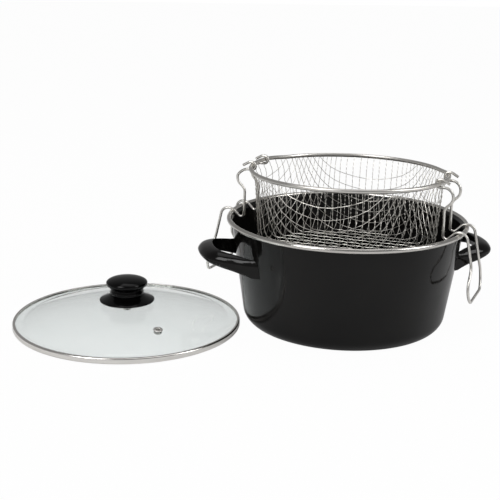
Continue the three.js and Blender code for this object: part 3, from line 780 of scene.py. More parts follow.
@dataclass
class Handle:
    """One of the pressed D handles on a pot, sizes in metres."""

    pot: Pot
    sheet: float = 0.0022
    out: float = 0.038
    window: float = 0.0235
    sunk: float = 0.006
    weld: float = 0.0001
    root_half: float = 0.0455
    lip_root_half: float = 0.0410
    arm_half: float = 0.036
    lip_arm_half: float = 0.0285
    below_edge: float = 0.0226
    root_drop: float = 0.0046
    root_share: float = 1.44
    height: float = 0.0118
    inner_cut: float = 0.0010
    root_height: float = 0.0185
    crown: float = 0.0072
    tuck: float = 0.0022
    lip_bend: float = 0.0014
    turn: float = math.radians(2.5)
    skew: float = 0.0055
    skew_least: tuple[float, float] = (0.3, 1.0)
    lift: float = 0.0012

    def edge(self, root_half: float, arm_half: float, reach: float, shares: np.ndarray) -> np.ndarray:
        """Plan curve of one edge.

        Args:
            root_half: Half the spread of the arms at the wall.
            arm_half: Half their spread half-way out.
            reach: Outermost distance from the pot's axis.
            shares: Places along the curve.

        Returns:
            Points in plan, one a row.
        """
        lip_height = self.pot.edge_height - self.below_edge
        root = float(self.pot.wall_radius(lip_height - self.root_height)) - self.sunk
        out = reach - root
        half = [
            (root - 0.008, root_half + 0.003),
            (root, root_half),
            (root + out * 0.3, arm_half + (root_half - arm_half) * 0.4),
            (root + out * 0.62, arm_half * 0.97),
            (root + out * 0.87, arm_half * 0.74),
            (root + out * 0.975, arm_half * 0.38),
        ]
        far = [(x, -y) for x, y in reversed(half)]
        return catmull(np.array(half + [(reach, 0.0)] + far), shares)

    def section(self, spread: float, height: float, tuck: float) -> np.ndarray:
        """Closed section of the pressed strip, an upside-down U.

        Args:
            spread: Distance from the lip out to the skin.
            height: Height of the section.
            tuck: How far the lower edge of the skin turns back in.

        Returns:
            Distance outwards and height above the lip, one point a row.
        """
        crown, sheet = self.crown, self.sheet
        brow = catmull(np.array([
            (0.0, 0.0),
            (spread * 0.4, -crown * 0.14),
            (spread * 0.78, -crown * 0.48),
            (spread, -crown),
            (spread, -height + self.tuck),
            (spread - tuck, -height),
        ]), np.linspace(0, 1, 26))
        bend = self.lip_bend
        away = unit(brow[2]) * bend
        share = np.linspace(0, 1, 7)[:, None]
        roll = (1 - share) ** 2 * np.array([[0.0, -bend]]) + share ** 2 * away
        skin = np.vstack([[[0.0, self.inner_cut - height], [0.0, -height * 0.5]], roll, brow[3:]])
        heading = unit(np.gradient(skin, axis=0))
        inward = np.stack([heading[:, 1], -heading[:, 0]], axis=1)
        lining = (skin + inward * sheet)[::-1]

        def nose(a: np.ndarray, b: np.ndarray, ahead: np.ndarray) -> np.ndarray:
            """Half-round end between two edges of the sheet.

            Args:
                a: Point on one edge.
                b: Point on the other edge.
                ahead: Way that the end points.

            Returns:
                Points between the two, one a row.
            """
            middle, arm = (a + b) / 2, (a - b) / 2
            angles = np.linspace(0, math.pi, 8)[1:-1]
            return np.array([middle + arm * math.cos(t) + ahead * np.linalg.norm(arm) * math.sin(t) * 0.4
                             for t in angles])

        foot = nose(skin[-1], lining[0], heading[-1])
        edge = nose(lining[-1], skin[0], -heading[0])
        return np.vstack([skin, foot, lining, edge])

    def build(self, name: str, side: int) -> Piece:
        """Builds the handle, its arms ending on the wall.

        Args:
            name: Name of the object.
            side: 1 for the right handle, -1 for the left one.

        Returns:
            A closed mesh.
        """
        lip_height = self.pot.edge_height - self.below_edge
        wall = float(self.pot.wall_radius(lip_height))
        shares = np.linspace(0, 1, 121)
        lip = self.edge(self.lip_root_half, self.lip_arm_half, wall + self.window, shares)
        brow = self.edge(self.root_half, self.arm_half, wall + self.out, shares)
        rows = []
        for along, top, edge in zip(shares, lip, brow):
            spread = float(np.linalg.norm(edge - top))
            outward = (edge - top) / spread
            root = min(1.0, (2 * along - 1) ** 2 * self.root_share)
            height = self.height + (self.root_height - self.height) * root
            strip = self.section(spread, height, self.tuck * (1 - root))
            plan = top + strip[:, :1] * outward
            level = lip_height - self.root_drop * root + strip[:, 1:]
            rows.append(np.hstack([plan, level]))
        points = np.vstack(rows)
        share = np.clip((points[:, 0] - wall) / self.out, 0, 1)
        least = self.skew_least[side < 0]
        points[:, 1] += self.skew * (1 - share) * np.clip(0.65 + 14 * points[:, 1], least, 1)
        points[:, 2] += self.lift * share
        reach = np.hypot(points[:, 0], points[:, 1])
        seat = self.pot.wall_radius(points[:, 2]) - self.weld
        short = reach < seat
        points[short, 0] = np.sqrt(np.maximum(seat[short] ** 2 - points[short, 1] ** 2, 0))
        points[:, :2] *= side
        points = spun(points, self.turn)
        size = len(rows[0])
        faces: list[tuple[int, ...]] = []
        for i in range(len(rows) - 1):
            for j in range(size):
                k = (j + 1) % size
                faces.append((i * size + j, (i + 1) * size + j, (i + 1) * size + k, i * size + k))
        faces.append(tuple(range(size)))
        last = (len(rows) - 1) * size
        faces.append(tuple(reversed(range(last, last + size))))
        return solid(name, points, faces, 50)


# ---- basket


@dataclass(frozen=True)
class Weave:
    """How one family of the net's wires is spaced, sizes in metres.

    Attributes:
        pitch: Distance between its wires on the floor.
        start: Where its wires lie, in pitches from the middle of the floor.
        ahead: Label past the floor's edge of its first arc on the side the label grows to.
        behind: The same on the other side.
    """

    pitch: float
    start: float
    ahead: float
    behind: float


@dataclass
class BasketNet:
    """Woven net with oblong meshes drawn down over a bowl, sizes in metres.

    On the floor the two families of wires are straight and cross squarely. Up the walls the wires that
    run upwards keep their pitch, and the ones that cross them have slid apart into wide arcs.
    Each wire is a level line of its family's label, the distance it has from the middle of the floor.
    """

    ring_radius: float = 0.1018
    ring_height: float = 0.1625
    hem_radius: float = 0.10155
    hem_height: float = 0.16195
    inset: float = 0.0042
    taper: float = 0.07
    depth: float = 0.084
    corner: float = 0.013
    neck: float = 0.011
    weaves: tuple[Weave, Weave] = (Weave(0.0119, 0.78, 0.0053, 0.0011), Weave(0.0072, 0.39, 0.0024, 0.0040))
    arc_pitch: float = 0.0072
    wire_radius: float = 0.00030
    crimp: float = 0.00031
    turn: float = math.radians(243.2)
    slide: float = 0.0128
    squeeze: float = 0.197
    skew: float = 0.0728
    skew_start: float = 0.1937
    uneven: float = 0.00012
    arcs: int = 9
    arc_waves: int = 5
    step: float = 0.0018
    flat_end: float = 0.004
    least_arc: float = 0.009
    seed: int = 11

    def __post_init__(self) -> None:
        """Lays out the meridian of the bowl, from the edge of its flat floor to the hem."""
        floor = self.ring_height - self.depth
        lean = math.atan(self.taper)
        bend_height = floor + self.corner
        mouth = self.ring_radius - self.inset

        def wall(height: float) -> float:
            """Radius of the straight wall at a height."""
            return mouth - self.taper * (self.ring_height - height)

        self.floor_radius = wall(bend_height) - self.corner / math.cos(lean)
        neck_height = self.hem_height - self.neck
        line = arc((self.floor_radius, bend_height), self.corner, -90, -math.degrees(lean), 24)
        line += [(wall(neck_height), neck_height), (self.hem_radius, self.hem_height)]
        self.line = np.array(line)
        self.lengths = np.r_[0, np.cumsum(np.hypot(*np.diff(self.line, axis=0).T))]
        self.wall_length = float(self.lengths[-1])
        self.gain = self.arc_pitch / self.slide

    def radius(self, climb: np.ndarray) -> np.ndarray:
        """Radius of the bowl at a length up its wall."""
        return np.interp(climb, self.lengths, self.line[:, 0])

    def label(self, side: np.ndarray, climb: np.ndarray) -> np.ndarray:
        """Label of a family on the wall.

        Args:
            side: Angle from the line on which the label is zero.
            climb: Length up the wall from the floor.

        Returns:
            The label.
        """
        most = self.floor_radius + self.gain * climb
        crowd = (1 - self.radius(climb) / most) / (4 * (1 - self.squeeze))
        bent = crowd * np.sin(4 * side) * (1 - self.squeeze * np.cos(8 * side))
        corner = np.maximum(0, np.sin(2 * (side - self.skew_start))) ** 6
        return most * np.sin(side - bent + self.skew * climb / self.wall_length * corner)

    def climbing(self, label: float) -> tuple[np.ndarray, np.ndarray]:
        """One end of a wire, on the wall.

        Args:
            label: The wire's label, above zero.

        Returns:
            Angle from the zero line and length up the wall, from the floor or the arc's foot to the hem.
        """
        foot = max(0.0, (label - self.floor_radius) / self.gain)
        climb = foot + (self.wall_length - foot) * np.linspace(0, 1, 160) ** 2
        sides = np.linspace(0, math.pi / 2, 900)
        side = np.empty_like(climb)
        for k, height in enumerate(climb):
            values = np.maximum.accumulate(self.label(sides, np.full_like(sides, height)))
            side[k] = np.interp(label, values, sides)
        if foot > 0:
            side[0] = math.pi / 2
        return side, climb

    def run(self, label: float) -> tuple[np.ndarray, np.ndarray, np.ndarray]:
        """Centre line of one wire of the family whose label is the first coordinate.

        Args:
            label: The wire's label.

        Returns:
            Points, ways out of the bowl and labels of the other family.
        """
        size = abs(label)
        side, climb = self.climbing(size)
        radius, height = self.radius(climb), np.interp(climb, self.lengths, self.line[:, 1])
        heading = unit(np.stack([np.gradient(radius, climb), np.gradient(height, climb)], axis=1))
        across, along = np.sin(side), np.cos(side)
        points = np.stack([radius * across, radius * along, height], axis=1)
        out = np.stack([heading[:, 1] * across, heading[:, 1] * along, -heading[:, 0]], axis=1)
        other = self.label(math.pi / 2 - side, climb)
        if size < self.floor_radius:
            span = math.sqrt(self.floor_radius ** 2 - size ** 2)
            flat = np.linspace(0, span, 80)[:-1]
            level = np.full_like(flat, self.line[0, 1])
            points = np.vstack([np.stack([np.full_like(flat, size), flat, level], axis=1), points])
            out = np.vstack([np.tile([0.0, 0.0, -1.0], (len(flat), 1)), out])
            other = np.r_[flat, other]
        mirror = np.array([1.0, -1.0, 1.0])
        points = np.vstack([points[:0:-1] * mirror, points])
        out = np.vstack([out[:0:-1] * mirror, out])
        other = np.r_[-other[:0:-1], other]
        if label < 0:
            points[:, 0] *= -1
            out[:, 0] *= -1
        return points, out, other

    def labels(self, weave: Weave) -> tuple[np.ndarray, np.ndarray]:
        """Labels of one family's wires, and how often a wire that crosses them has turned over by each.

        Args:
            weave: The family.

        Returns:
            One label a wire, and the half waves before it.
        """
        floor = weave.pitch * (np.arange(-40, 40) + weave.start)
        floor = floor[np.abs(floor) < self.floor_radius + 0.001]
        arcs = self.floor_radius + self.arc_pitch * np.arange(self.arcs)
        labels = np.r_[-(arcs + weave.behind)[::-1], floor, arcs + weave.ahead]
        outside = np.minimum(np.abs(labels[1:]), np.abs(labels[:-1])) > self.floor_radius
        return labels, np.r_[0, np.cumsum(np.where(outside, self.arc_waves, 1))]

    def family(self, swapped: bool) -> tuple[list[np.ndarray], list[np.ndarray]]:
        """Centre lines of one family's wires and the way the crimp pushes each point.

        Args:
            swapped: Whether the family's label is the second coordinate.

        Returns:
            One array of points and one of pushes for each wire.
        """
        chance = np.random.default_rng(self.seed + swapped)
        own, crossing = self.weaves[::-1] if swapped else self.weaves
        labels, _ = self.labels(own)
        most = self.floor_radius + self.gain * self.wall_length - self.least_arc
        runs, lifts = [], []
        for i, label in enumerate(labels):
            if abs(label) > most:
                continue
            points, out, other = self.run(label + float(chance.normal(0, self.uneven)))
            phase = math.pi * np.interp(other, *self.labels(crossing))
            steps = np.linalg.norm(np.diff(points, axis=0), axis=1)
            dense = np.maximum(steps / self.step, np.abs(np.diff(phase)) / (math.pi / 3))
            measure = np.r_[0, np.cumsum(dense)]
            stations = np.linspace(0, measure[-1], max(6, math.ceil(measure[-1])) + 1)

            def at(values: np.ndarray) -> np.ndarray:
                """Values at the stations."""
                return np.stack([np.interp(stations, measure, column) for column in values.T], axis=1)

            place = at(points)
            wave = np.cos(np.interp(stations, measure, phase)) * (-1) ** (i + swapped)
            lengths = np.r_[0, np.cumsum(np.linalg.norm(np.diff(place, axis=0), axis=1))]
            ends = np.clip(np.minimum(lengths, lengths[-1] - lengths) / self.flat_end, 0, 1)
            push = unit(at(out)) * (wave * ends)[:, None]
            if swapped:
                place, push = place[:, [1, 0, 2]], push[:, [1, 0, 2]]
            runs.append(spun(place, self.turn))
            lifts.append(spun(push, self.turn))
        return runs, lifts


@dataclass
class Basket:
    """The basket's net, ring and sleeve, sizes in metres."""

    net: BasketNet = field(default_factory=BasketNet)
    sleeve_radius: float = 0.0022
    sleeve_sheet: float = 0.00045
    sleeve_mouth: float = 62.0
    sleeve_facing: float = 250.0
    ring_wire_radius: float = 0.00065
    gap: float = 0.0003
    hem_size: float = 0.0012
    sag: float = 0.0013
    draw_in: float = 0.0014
    tip: float = math.tan(math.radians(0.74))
    hook_turns: tuple[float, float] = (math.radians(-29.4), math.radians(153.1))
    hook_hold: float = math.radians(13)
    hook_fade: float = math.radians(22)
    wire: Finish = WireFinish("tinned net wire", ((0.60, 0.58, 0.54), (0.76, 0.73, 0.68)), (0.32, 0.42))
    strip: Finish = SteelFinish("basket ring steel", ((0.64, 0.62, 0.59), (0.76, 0.74, 0.70)), (0.28, 0.36))

    def settled(self, piece: Piece) -> Piece:
        """Sags a piece between the hooks that hold the ring, a little more at the back than in front.

        Args:
            piece: The piece, whose mesh is changed.

        Returns:
            The same piece.
        """
        mesh = piece.data
        flat = np.empty(len(mesh.vertices) * 3)
        mesh.vertices.foreach_get("co", flat)
        points = flat.reshape(-1, 3)
        radius = np.hypot(points[:, 0], points[:, 1])
        around = np.arctan2(points[:, 1], points[:, 0])
        away = np.min([np.abs((around - turn + math.pi) % (2 * math.pi) - math.pi) for turn in self.hook_turns], axis=0)
        share = np.clip((away - self.hook_hold) / self.hook_fade, 0, 1)
        free = share * share * (3 - 2 * share)
        high = np.clip((points[:, 2] - self.net.ring_height + self.net.depth) / self.net.depth, 0, 1)
        wall = self.net.ring_radius - self.net.inset
        rim = np.clip((radius - wall) / self.net.inset, 0, 1)
        ahead = np.sin(around - sum(self.hook_turns) / 2 + math.pi / 2) * radius
        points[:, :2] *= (1 - self.draw_in * free * rim / np.maximum(radius, 1e-6))[:, None]
        points[:, 2] -= high * (self.sag * free + self.tip * ahead * free)
        mesh.vertices.foreach_set("co", points.ravel())
        mesh.update()
        return piece

    def sleeve(self) -> Piece:
        """Builds the rolled strip round the ring, its mouth towards the net."""
        return crimped_strip("basket_ring_sleeve", (self.net.ring_radius, self.net.ring_height),
                             self.sleeve_radius, self.sleeve_sheet, self.sleeve_facing, self.sleeve_mouth, 36, 200)

    def hoop(self, shop: Workshop, name: str, radius: float, height: float, wire_radius: float, sides: int
             ) -> Piece:
        """Builds a level hoop of wire about the basket's axis.

        Args:
            shop: The workshop.
            name: Name of the object.
            radius: Radius of its centre line.
            height: Height of its centre line.
            wire_radius: Radius of its wire.
            sides: Facets round the wire.

        Returns:
            The settled hoop.
        """
        angles = np.linspace(0, 2 * math.pi, 200, endpoint=False)
        line = np.stack([radius * np.cos(angles), radius * np.sin(angles), np.full_like(angles, height)], axis=1)
        return self.settled(shop.wires.sweep(name, [line], wire_radius, shop.material(self.wire), sides, loops=True))

    def build(self, shop: Workshop) -> None:
        """Builds and dresses the basket's pieces.

        Args:
            shop: The workshop.
        """
        net = self.net
        for name, swapped in (("woven_net_warp", False), ("woven_net_weft", True)):
            runs, lifts = net.family(swapped)
            woven = shop.wires.sweep(name, runs, net.wire_radius, shop.material(self.wire), 6, lifts, net.crimp)
            shop.place(self.settled(woven), Body.BASKET, Slot.NET_WIRE, "basket_mesh")
        hem = self.hoop(shop, "net_hem", net.hem_radius, net.hem_height, self.hem_size / 2, 10)
        shop.place(hem, Body.BASKET, Slot.NET_WIRE, "basket_mesh")
        core_height = net.ring_height + self.sleeve_radius - self.sleeve_sheet - self.gap - self.ring_wire_radius
        core = self.hoop(shop, "ring_core_wire", net.ring_radius, core_height, self.ring_wire_radius, 12)
        shop.place(core, Body.BASKET, Slot.NET_WIRE, "basket_rim_wire")
        shop.place(self.settled(self.sleeve()), Body.BASKET, Slot.RING_STEEL, "basket_rim_sleeve", self.strip)


@dataclass
class Bail:
    """One bent wire bail, hooked to the ring and over the pot's rim, sizes in metres."""

    name: str
    node: str
    body: Body
    turn: float
    pot: Pot
    basket: Basket
    wire_radius: float = 0.0014
    half: float = 0.019
    grip_half: float = 0.0260
    bow_half: float = 0.0370
    play: float = 0.00045
    bulge: float = 0.0127
    bulge_drop: float = 0.018
    throat_drop: float = 0.0257
    leg_out: float = 0.0045
    foot_drop: float = 0.0092
    hump_bend: float = 0.0084
    hump_shift: float = 0.0005
    grip_out: float = 0.0162
    flare_start: float = 0.031
    flare_end: float = 0.050
    grip_drop: float = 0.0646
    stub: float = 0.0095
    edge_outside: float = 0.00275
    askew: float = 0.0
    splay: float = 0.0

    @staticmethod
    def corner_over(before: np.ndarray, centre: np.ndarray, radius: float, after: np.ndarray) -> np.ndarray:
        """Corner whose rounding lies on a circle that the path passes on its left.

        Args:
            before: Point before the corner.
            centre: Middle of the circle.
            radius: Radius of the circle.
            after: Point after the corner.

        Returns:
            The corner.
        """
        rise, fall = centre - before, after - centre
        climb = math.atan2(rise[1], rise[0]) + math.asin(radius / float(np.linalg.norm(rise)))
        drop = math.atan2(fall[1], fall[0]) - math.asin(radius / float(np.linalg.norm(fall)))
        up = np.array([math.cos(climb), math.sin(climb)])
        down = np.array([math.cos(drop), math.sin(drop)])
        gap = after - before
        share = (gap[0] * down[1] - gap[1] * down[0]) / (up[0] * down[1] - up[1] * down[0])
        return before + up * share

    def corners(self) -> list[tuple[Point, float]]:
        """Bends of one half, from the cut end to the corner of the grip.

        Returns:
            Each corner with its bend radius, as if the bail pointed along x.
        """
        ring, high = self.basket.net.ring_radius, self.basket.net.ring_height
        edge, brim = self.pot.edge_radius, self.pot.edge_height
        wrap = self.basket.sleeve_radius + self.play + self.wire_radius
        leg, bulge, grip = ring + self.leg_out, ring + self.bulge, edge + self.grip_out
        foot = np.array([leg + 0.0006, brim - self.foot_drop])
        drop = np.array([grip - 0.0016, brim - self.flare_start])
        middle = np.array([edge + self.hump_shift, brim + self.edge_outside + self.wire_radius - self.hump_bend])
        hump = self.corner_over(foot, middle, self.hump_bend, drop)
        rows = [
            (ring + self.stub, self.half + 0.001, high + wrap - 0.004, 0.0),
            (ring + 0.0025, self.half + 0.001, high + wrap, 0.005),
            (ring - wrap, self.half + 0.001, high + wrap, wrap),
            (ring - wrap, self.half, high - wrap, wrap),
            (bulge, self.half - 0.001, high - wrap, 0.0095),
            (bulge, self.half - 0.0015, high - self.bulge_drop, 0.010),
            (leg, self.half - 0.002, high - self.throat_drop, 0.009),
            (foot[0], self.half - 0.002, foot[1], 0.0036),
            (hump[0], self.half, hump[1], self.hump_bend),
            (drop[0], self.half, drop[1], 0.014),
            (grip + 0.0022, self.bow_half, brim - self.flare_end, 0.014),
            (grip + 0.0018, self.grip_half, brim - self.grip_drop, 0.009),
        ]
        return [((math.sqrt(r**2 - t**2), t, z), bend) for r, t, z, bend in rows]

    def build(self, shop: Workshop) -> None:
        """Builds and dresses the bail.

        Args:
            shop: The workshop.
        """
        half = self.corners()
        other = [((x, -y, z), bend) for (x, y, z), bend in reversed(half)]
        line = bent_path(half + other)
        below = self.basket.net.ring_height - self.basket.sleeve_radius - self.play - line[:, 2]
        near = np.clip(below / 0.009, 0, 1) * (0.5 + line[:, 1] / (2 * self.half))
        hanging = np.clip((self.pot.edge_height - line[:, 2]) / self.grip_drop, 0, 1) ** 2
        line[:, 0] += self.askew * near + self.splay * hanging
        wire = shop.material(WireFinish("plated bail wire", patches=(45.0, 4.0), wear=(112.5, 3.0)))
        made = shop.wires.sweep(self.name, [spun(line, self.turn)], self.wire_radius, wire, 18)
        shop.place(made, self.body, Slot.BAIL_WIRE, self.node)


# ---- lid


@dataclass
class Lid:
    """The glass lid with its band, vent and knob, sizes in metres."""

    band_sheet: float = 0.0007
    band_lip: float = 0.0020
    glass: float = 0.004
    glass_bend: float = 0.0015
    dome: float = 0.0175
    flange: float = 0.009
    bore: float = 0.004
    gap: float = 0.0003
    vent_distance: float = 0.0725
    vent_turn: float = math.radians(-65.5)
    vent_bore: float = 0.002
    vent_sheet: float = 0.0008
    vent_flange: float = 0.0049
    vent_flange_sheet: float = 0.0009
    cap_radius: float = 0.0215
    cap_height: float = 0.0124
    notch_radius: float = 0.0166
    neck_radius: float = 0.0176
    neck_height: float = 0.006
    skirt_radius: float = 0.0286
    skirt_height: float = 0.007
    skirt_shell: float = 0.0018
    boss_radius: float = 0.012
    seal_radius: float = 0.009
    seal_thick: float = 0.0015
    washer_radius: float = 0.008
    washer_thick: float = 0.001
    screw_radius: float = 0.0024
    head_radius: float = 0.0046
    head_height: float = 0.0026
    screw_reach: float = 0.008
    insert_radius: float = 0.005
    insert_length: float = 0.011

    def __post_init__(self) -> None:
        """Takes the lid's place and radius from the frame and works out the dome."""
        low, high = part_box("lid_rim_band")
        self.centre = ((low.x + high.x) / 2, (low.y + high.y) / 2)
        self.radius = (high.x - low.x) / 2
        self.edge_radius = self.radius - self.band_sheet - self.gap
        self.edge_height = self.band_sheet + self.gap
        self.dome_radius = self.edge_radius - self.flange
        self.sphere = (self.dome_radius**2 + self.dome**2) / (2 * self.dome)
        self.vent_tilt = math.asin(self.vent_distance / self.sphere)
        self.crown = self.underside(0.0) + self.glass
        self.skirt_foot = self.crown + self.gap + self.seal_thick + self.gap
        self.neck_foot = self.skirt_foot + self.skirt_height + self.gap
        self.notch = self.neck_foot + self.neck_height
        self.insert_foot = self.neck_foot + 0.001
        self.bolt_hole = self.screw_radius + self.gap
        self.lower_seal_top = self.underside(self.seal_radius) - self.gap
        self.washer_top = self.lower_seal_top - self.seal_thick - self.gap
        self.head_top = self.washer_top - self.washer_thick - self.gap

    def underside(self, distance: float) -> float:
        """Height of the underside of the glass.

        Args:
            distance: Distance from the lid's axis.

        Returns:
            The height.
        """
        if distance >= self.dome_radius:
            return self.edge_height
        return self.edge_height + math.sqrt(self.sphere**2 - distance**2) - (self.sphere - self.dome)

    def turned_here(self, name: str, corners: Sequence[Point], segments: int = 96, smooth_angle: float = 40.0
                    ) -> Piece:
        """Turns a closed section with rounded corners about the lid's axis."""
        return turned(name, filleted(corners, True), True, self.centre, segments, smooth_angle)

    def glass_disc(self) -> Piece:
        """Builds the domed glass with its bore and the hole for the vent.

        Returns:
            A closed mesh.
        """
        flat, low, high = self.dome_radius + 0.002, self.edge_height, self.edge_height + self.glass
        distances = [self.dome_radius * k / 30 for k in range(30, 0, -1)]
        under = [(d, self.underside(d)) for d in distances if d > self.bore] + [(self.bore, self.underside(self.bore))]
        over = [(r, z + self.glass) for r, z in reversed(under)]
        edge = filleted([
            (flat, high, 0.0), (self.edge_radius, high, self.glass_bend),
            (self.edge_radius, low, self.glass_bend), (flat, low, 0.0)], closed=False)
        disc = turned("lid_dome", under + over + edge, True, self.centre, 200, 30)
        hole, reach = self.vent_bore + self.vent_sheet + self.gap, 0.01
        section = [(0.0, -reach), (hole, -reach), (hole, reach), (0.0, reach)]
        cutter = self._at_vent(turned("vent cutter", section, False, segments=48))
        cut = disc.modifiers.new("vent hole", "BOOLEAN")
        cut.operation = "DIFFERENCE"
        cut.solver = "EXACT"
        cut.object = cutter
        baked(disc)
        bpy.data.objects.remove(cutter)
        return disc

    def _at_vent(self, made: Piece) -> Piece:
        """Moves the mesh of a piece made about the origin to the vent's seat.

        Args:
            made: The piece, whose mesh is moved.

        Returns:
            The same piece.
        """
        seat = Matrix.Translation((self.centre[0], self.centre[1], 0.0)) @ Matrix.Rotation(self.vent_turn, 4, "Z")
        seat = seat @ Matrix.Translation((self.vent_distance, 0.0, self.underside(self.vent_distance) + self.glass / 2))
        made.data.transform(seat @ Matrix.Rotation(self.vent_tilt, 4, "Y"))
        return made

    def vent(self) -> Piece:
        """Builds the eyelet of the steam vent.

        Returns:
            A closed mesh.
        """
        tube = self.vent_bore + self.vent_sheet
        seat = self.glass / 2 * math.cos(self.vent_tilt) + self.gap
        top = seat + self.vent_flange_sheet
        section = filleted([
            (self.vent_bore, -top, 0.0004), (self.vent_flange - 0.001, -top, 0.0003),
            (self.vent_flange - 0.0006, -seat, 0.0002), (tube, -seat, 0.0002), (tube, seat, 0.0002),
            (self.vent_flange, seat, 0.0003), (self.vent_flange - 0.0003, top - 0.0002, 0.0003),
            (self.vent_flange - 0.0014, top, 0.0004), (self.vent_bore + 0.0005, top, 0.0003),
            (self.vent_bore, top - 0.0004, 0.0003),
        ], True)
        return self._at_vent(turned("steam_vent", section, True, segments=64))

    def band(self) -> Piece:
        """Builds the stainless band round the glass.

        Returns:
            A closed mesh.
        """
        lip = self.edge_radius - self.band_lip
        inner = self.radius - self.band_sheet
        top = self.edge_height + self.glass + self.gap + self.band_sheet
        sheet = self.band_sheet
        return self.turned_here("lid_edge_band", [
            (lip, 0.0, 0.0002), (self.radius, 0.0, 0.0017), (self.radius, top, 0.0017), (lip, top, 0.0002),
            (lip, top - sheet, 0.0002), (inner, top - sheet, 0.001), (inner, sheet, 0.001), (lip, sheet, 0.0002),
        ], 200, 50)

    def skirt(self) -> Piece:
        """Builds the knob's flared skirt.

        Returns:
            A closed mesh.
        """
        foot, top = self.skirt_foot, self.skirt_foot + self.skirt_height
        roof = top - self.skirt_shell * 1.6
        return self.turned_here("knob_flared_skirt", [
            (self.bolt_hole, foot, 0.0003), (self.boss_radius, foot, 0.0005), (self.boss_radius, roof, 0.001),
            (self.neck_radius - 0.001, roof, 0.002),
            (self.skirt_radius * 0.86 - 0.0006, foot + 0.0034 - self.skirt_shell, 0.004),
            (self.skirt_radius - self.skirt_shell, foot + 0.0004, 0.0004),
            (self.skirt_radius, foot + 0.0004, 0.0005), (self.skirt_radius, foot + 0.0016, 0.0006),
            (self.skirt_radius * 0.86, foot + 0.0034, 0.01), (self.skirt_radius * 0.72, foot + 0.0052, 0.01),
            (self.neck_radius, top, 0.0008), (self.bolt_hole, top, 0.0003),
        ], segments=128)

    def grip(self) -> Piece:
        """Builds the knob's cap and neck.

        Returns:
            A closed mesh.
        """
        crown = self.notch + self.cap_height
        widest = self.notch + 0.0062
        bore = self.insert_radius + self.gap
        bore_top = self.insert_foot + self.insert_length + self.gap
        rise = crown - widest
        dome = [(self.cap_radius * math.cos(a), widest + rise * math.sin(a))
                for a in np.linspace(0, math.pi / 2, 24)]
        dome[-1] = (0.0, crown)
        low = filleted([
            (0.0, bore_top, 0.0), (bore, bore_top, 0.0004), (bore, self.neck_foot, 0.0003),
            (self.neck_radius, self.neck_foot, 0.0008),
            (self.neck_radius, self.neck_foot + self.neck_height * 0.55, 0.0025),
            (self.notch_radius, self.notch, 0.0012),
            (self.cap_radius * 0.86, self.notch + 0.0016, 0.004),
            (self.cap_radius * 0.985, self.notch + 0.004, 0.006),
            (self.cap_radius, widest, 0.0),
        ], False)
        return turned("knob_cap", low[:-1] + dome, False, self.centre, 128, 45)

    def flat_ring(self, name: str, radius: float, foot: float, thick: float) -> Piece:
        """Builds a flat disc with a hole for the screw.

        Args:
            name: Name of the object.
            radius: Outer radius.
            foot: Height of its underside.
            thick: Its thickness.

        Returns:
            A closed mesh.
        """
        soft = thick * 0.25
        return self.turned_here(name, [
            (self.bolt_hole, foot, soft), (radius, foot, soft), (radius, foot + thick, soft),
            (self.bolt_hole, foot + thick, soft)], segments=64)

    def screw(self) -> Piece:
        """Builds the screw, with ridges for its thread.

        Returns:
            A closed mesh.
        """
        foot = self.head_top - self.head_height
        tip = self.insert_foot + self.screw_reach
        profile = filleted([
            (0.0, foot, 0.0), (self.head_radius - 0.001, foot, 0.0006), (self.head_radius, foot + 0.001, 0.0006),
            (self.head_radius, self.head_top, 0.0002), (self.screw_radius, self.head_top, 0.0002)], False)
        pitch, depth = 0.0008, 0.0003
        turns = int((tip - self.head_top - 0.001) / pitch)
        for k in range(turns):
            base = self.head_top + 0.0005 + k * pitch
            profile += [(self.screw_radius, base), (self.screw_radius - depth, base + pitch / 2)]
        profile += [(self.screw_radius, tip - 0.0006), (self.screw_radius - 0.0005, tip), (0.0, tip)]
        return turned("knob_screw_turned", profile, False, self.centre, 48, 30)

    def insert(self) -> Piece:
        """Builds the brass insert with its grip rings.

        Returns:
            A closed mesh.
        """
        foot, top = self.insert_foot, self.insert_foot + self.insert_length
        outer: Profile = [(self.bolt_hole, foot), (self.insert_radius, foot)]
        for k in range(4):
            base = foot + 0.0022 + k * 0.002
            outer += [(self.insert_radius, base), (self.insert_radius - 0.0005, base + 0.0004),
                      (self.insert_radius - 0.0005, base + 0.0009), (self.insert_radius, base + 0.0013)]
        outer += [(self.insert_radius, top), (0.0, top), (0.0, top - 0.0012), (self.bolt_hole, top - 0.0012)]
        return turned("knob_brass_insert", outer, True, self.centre, 48, 30)

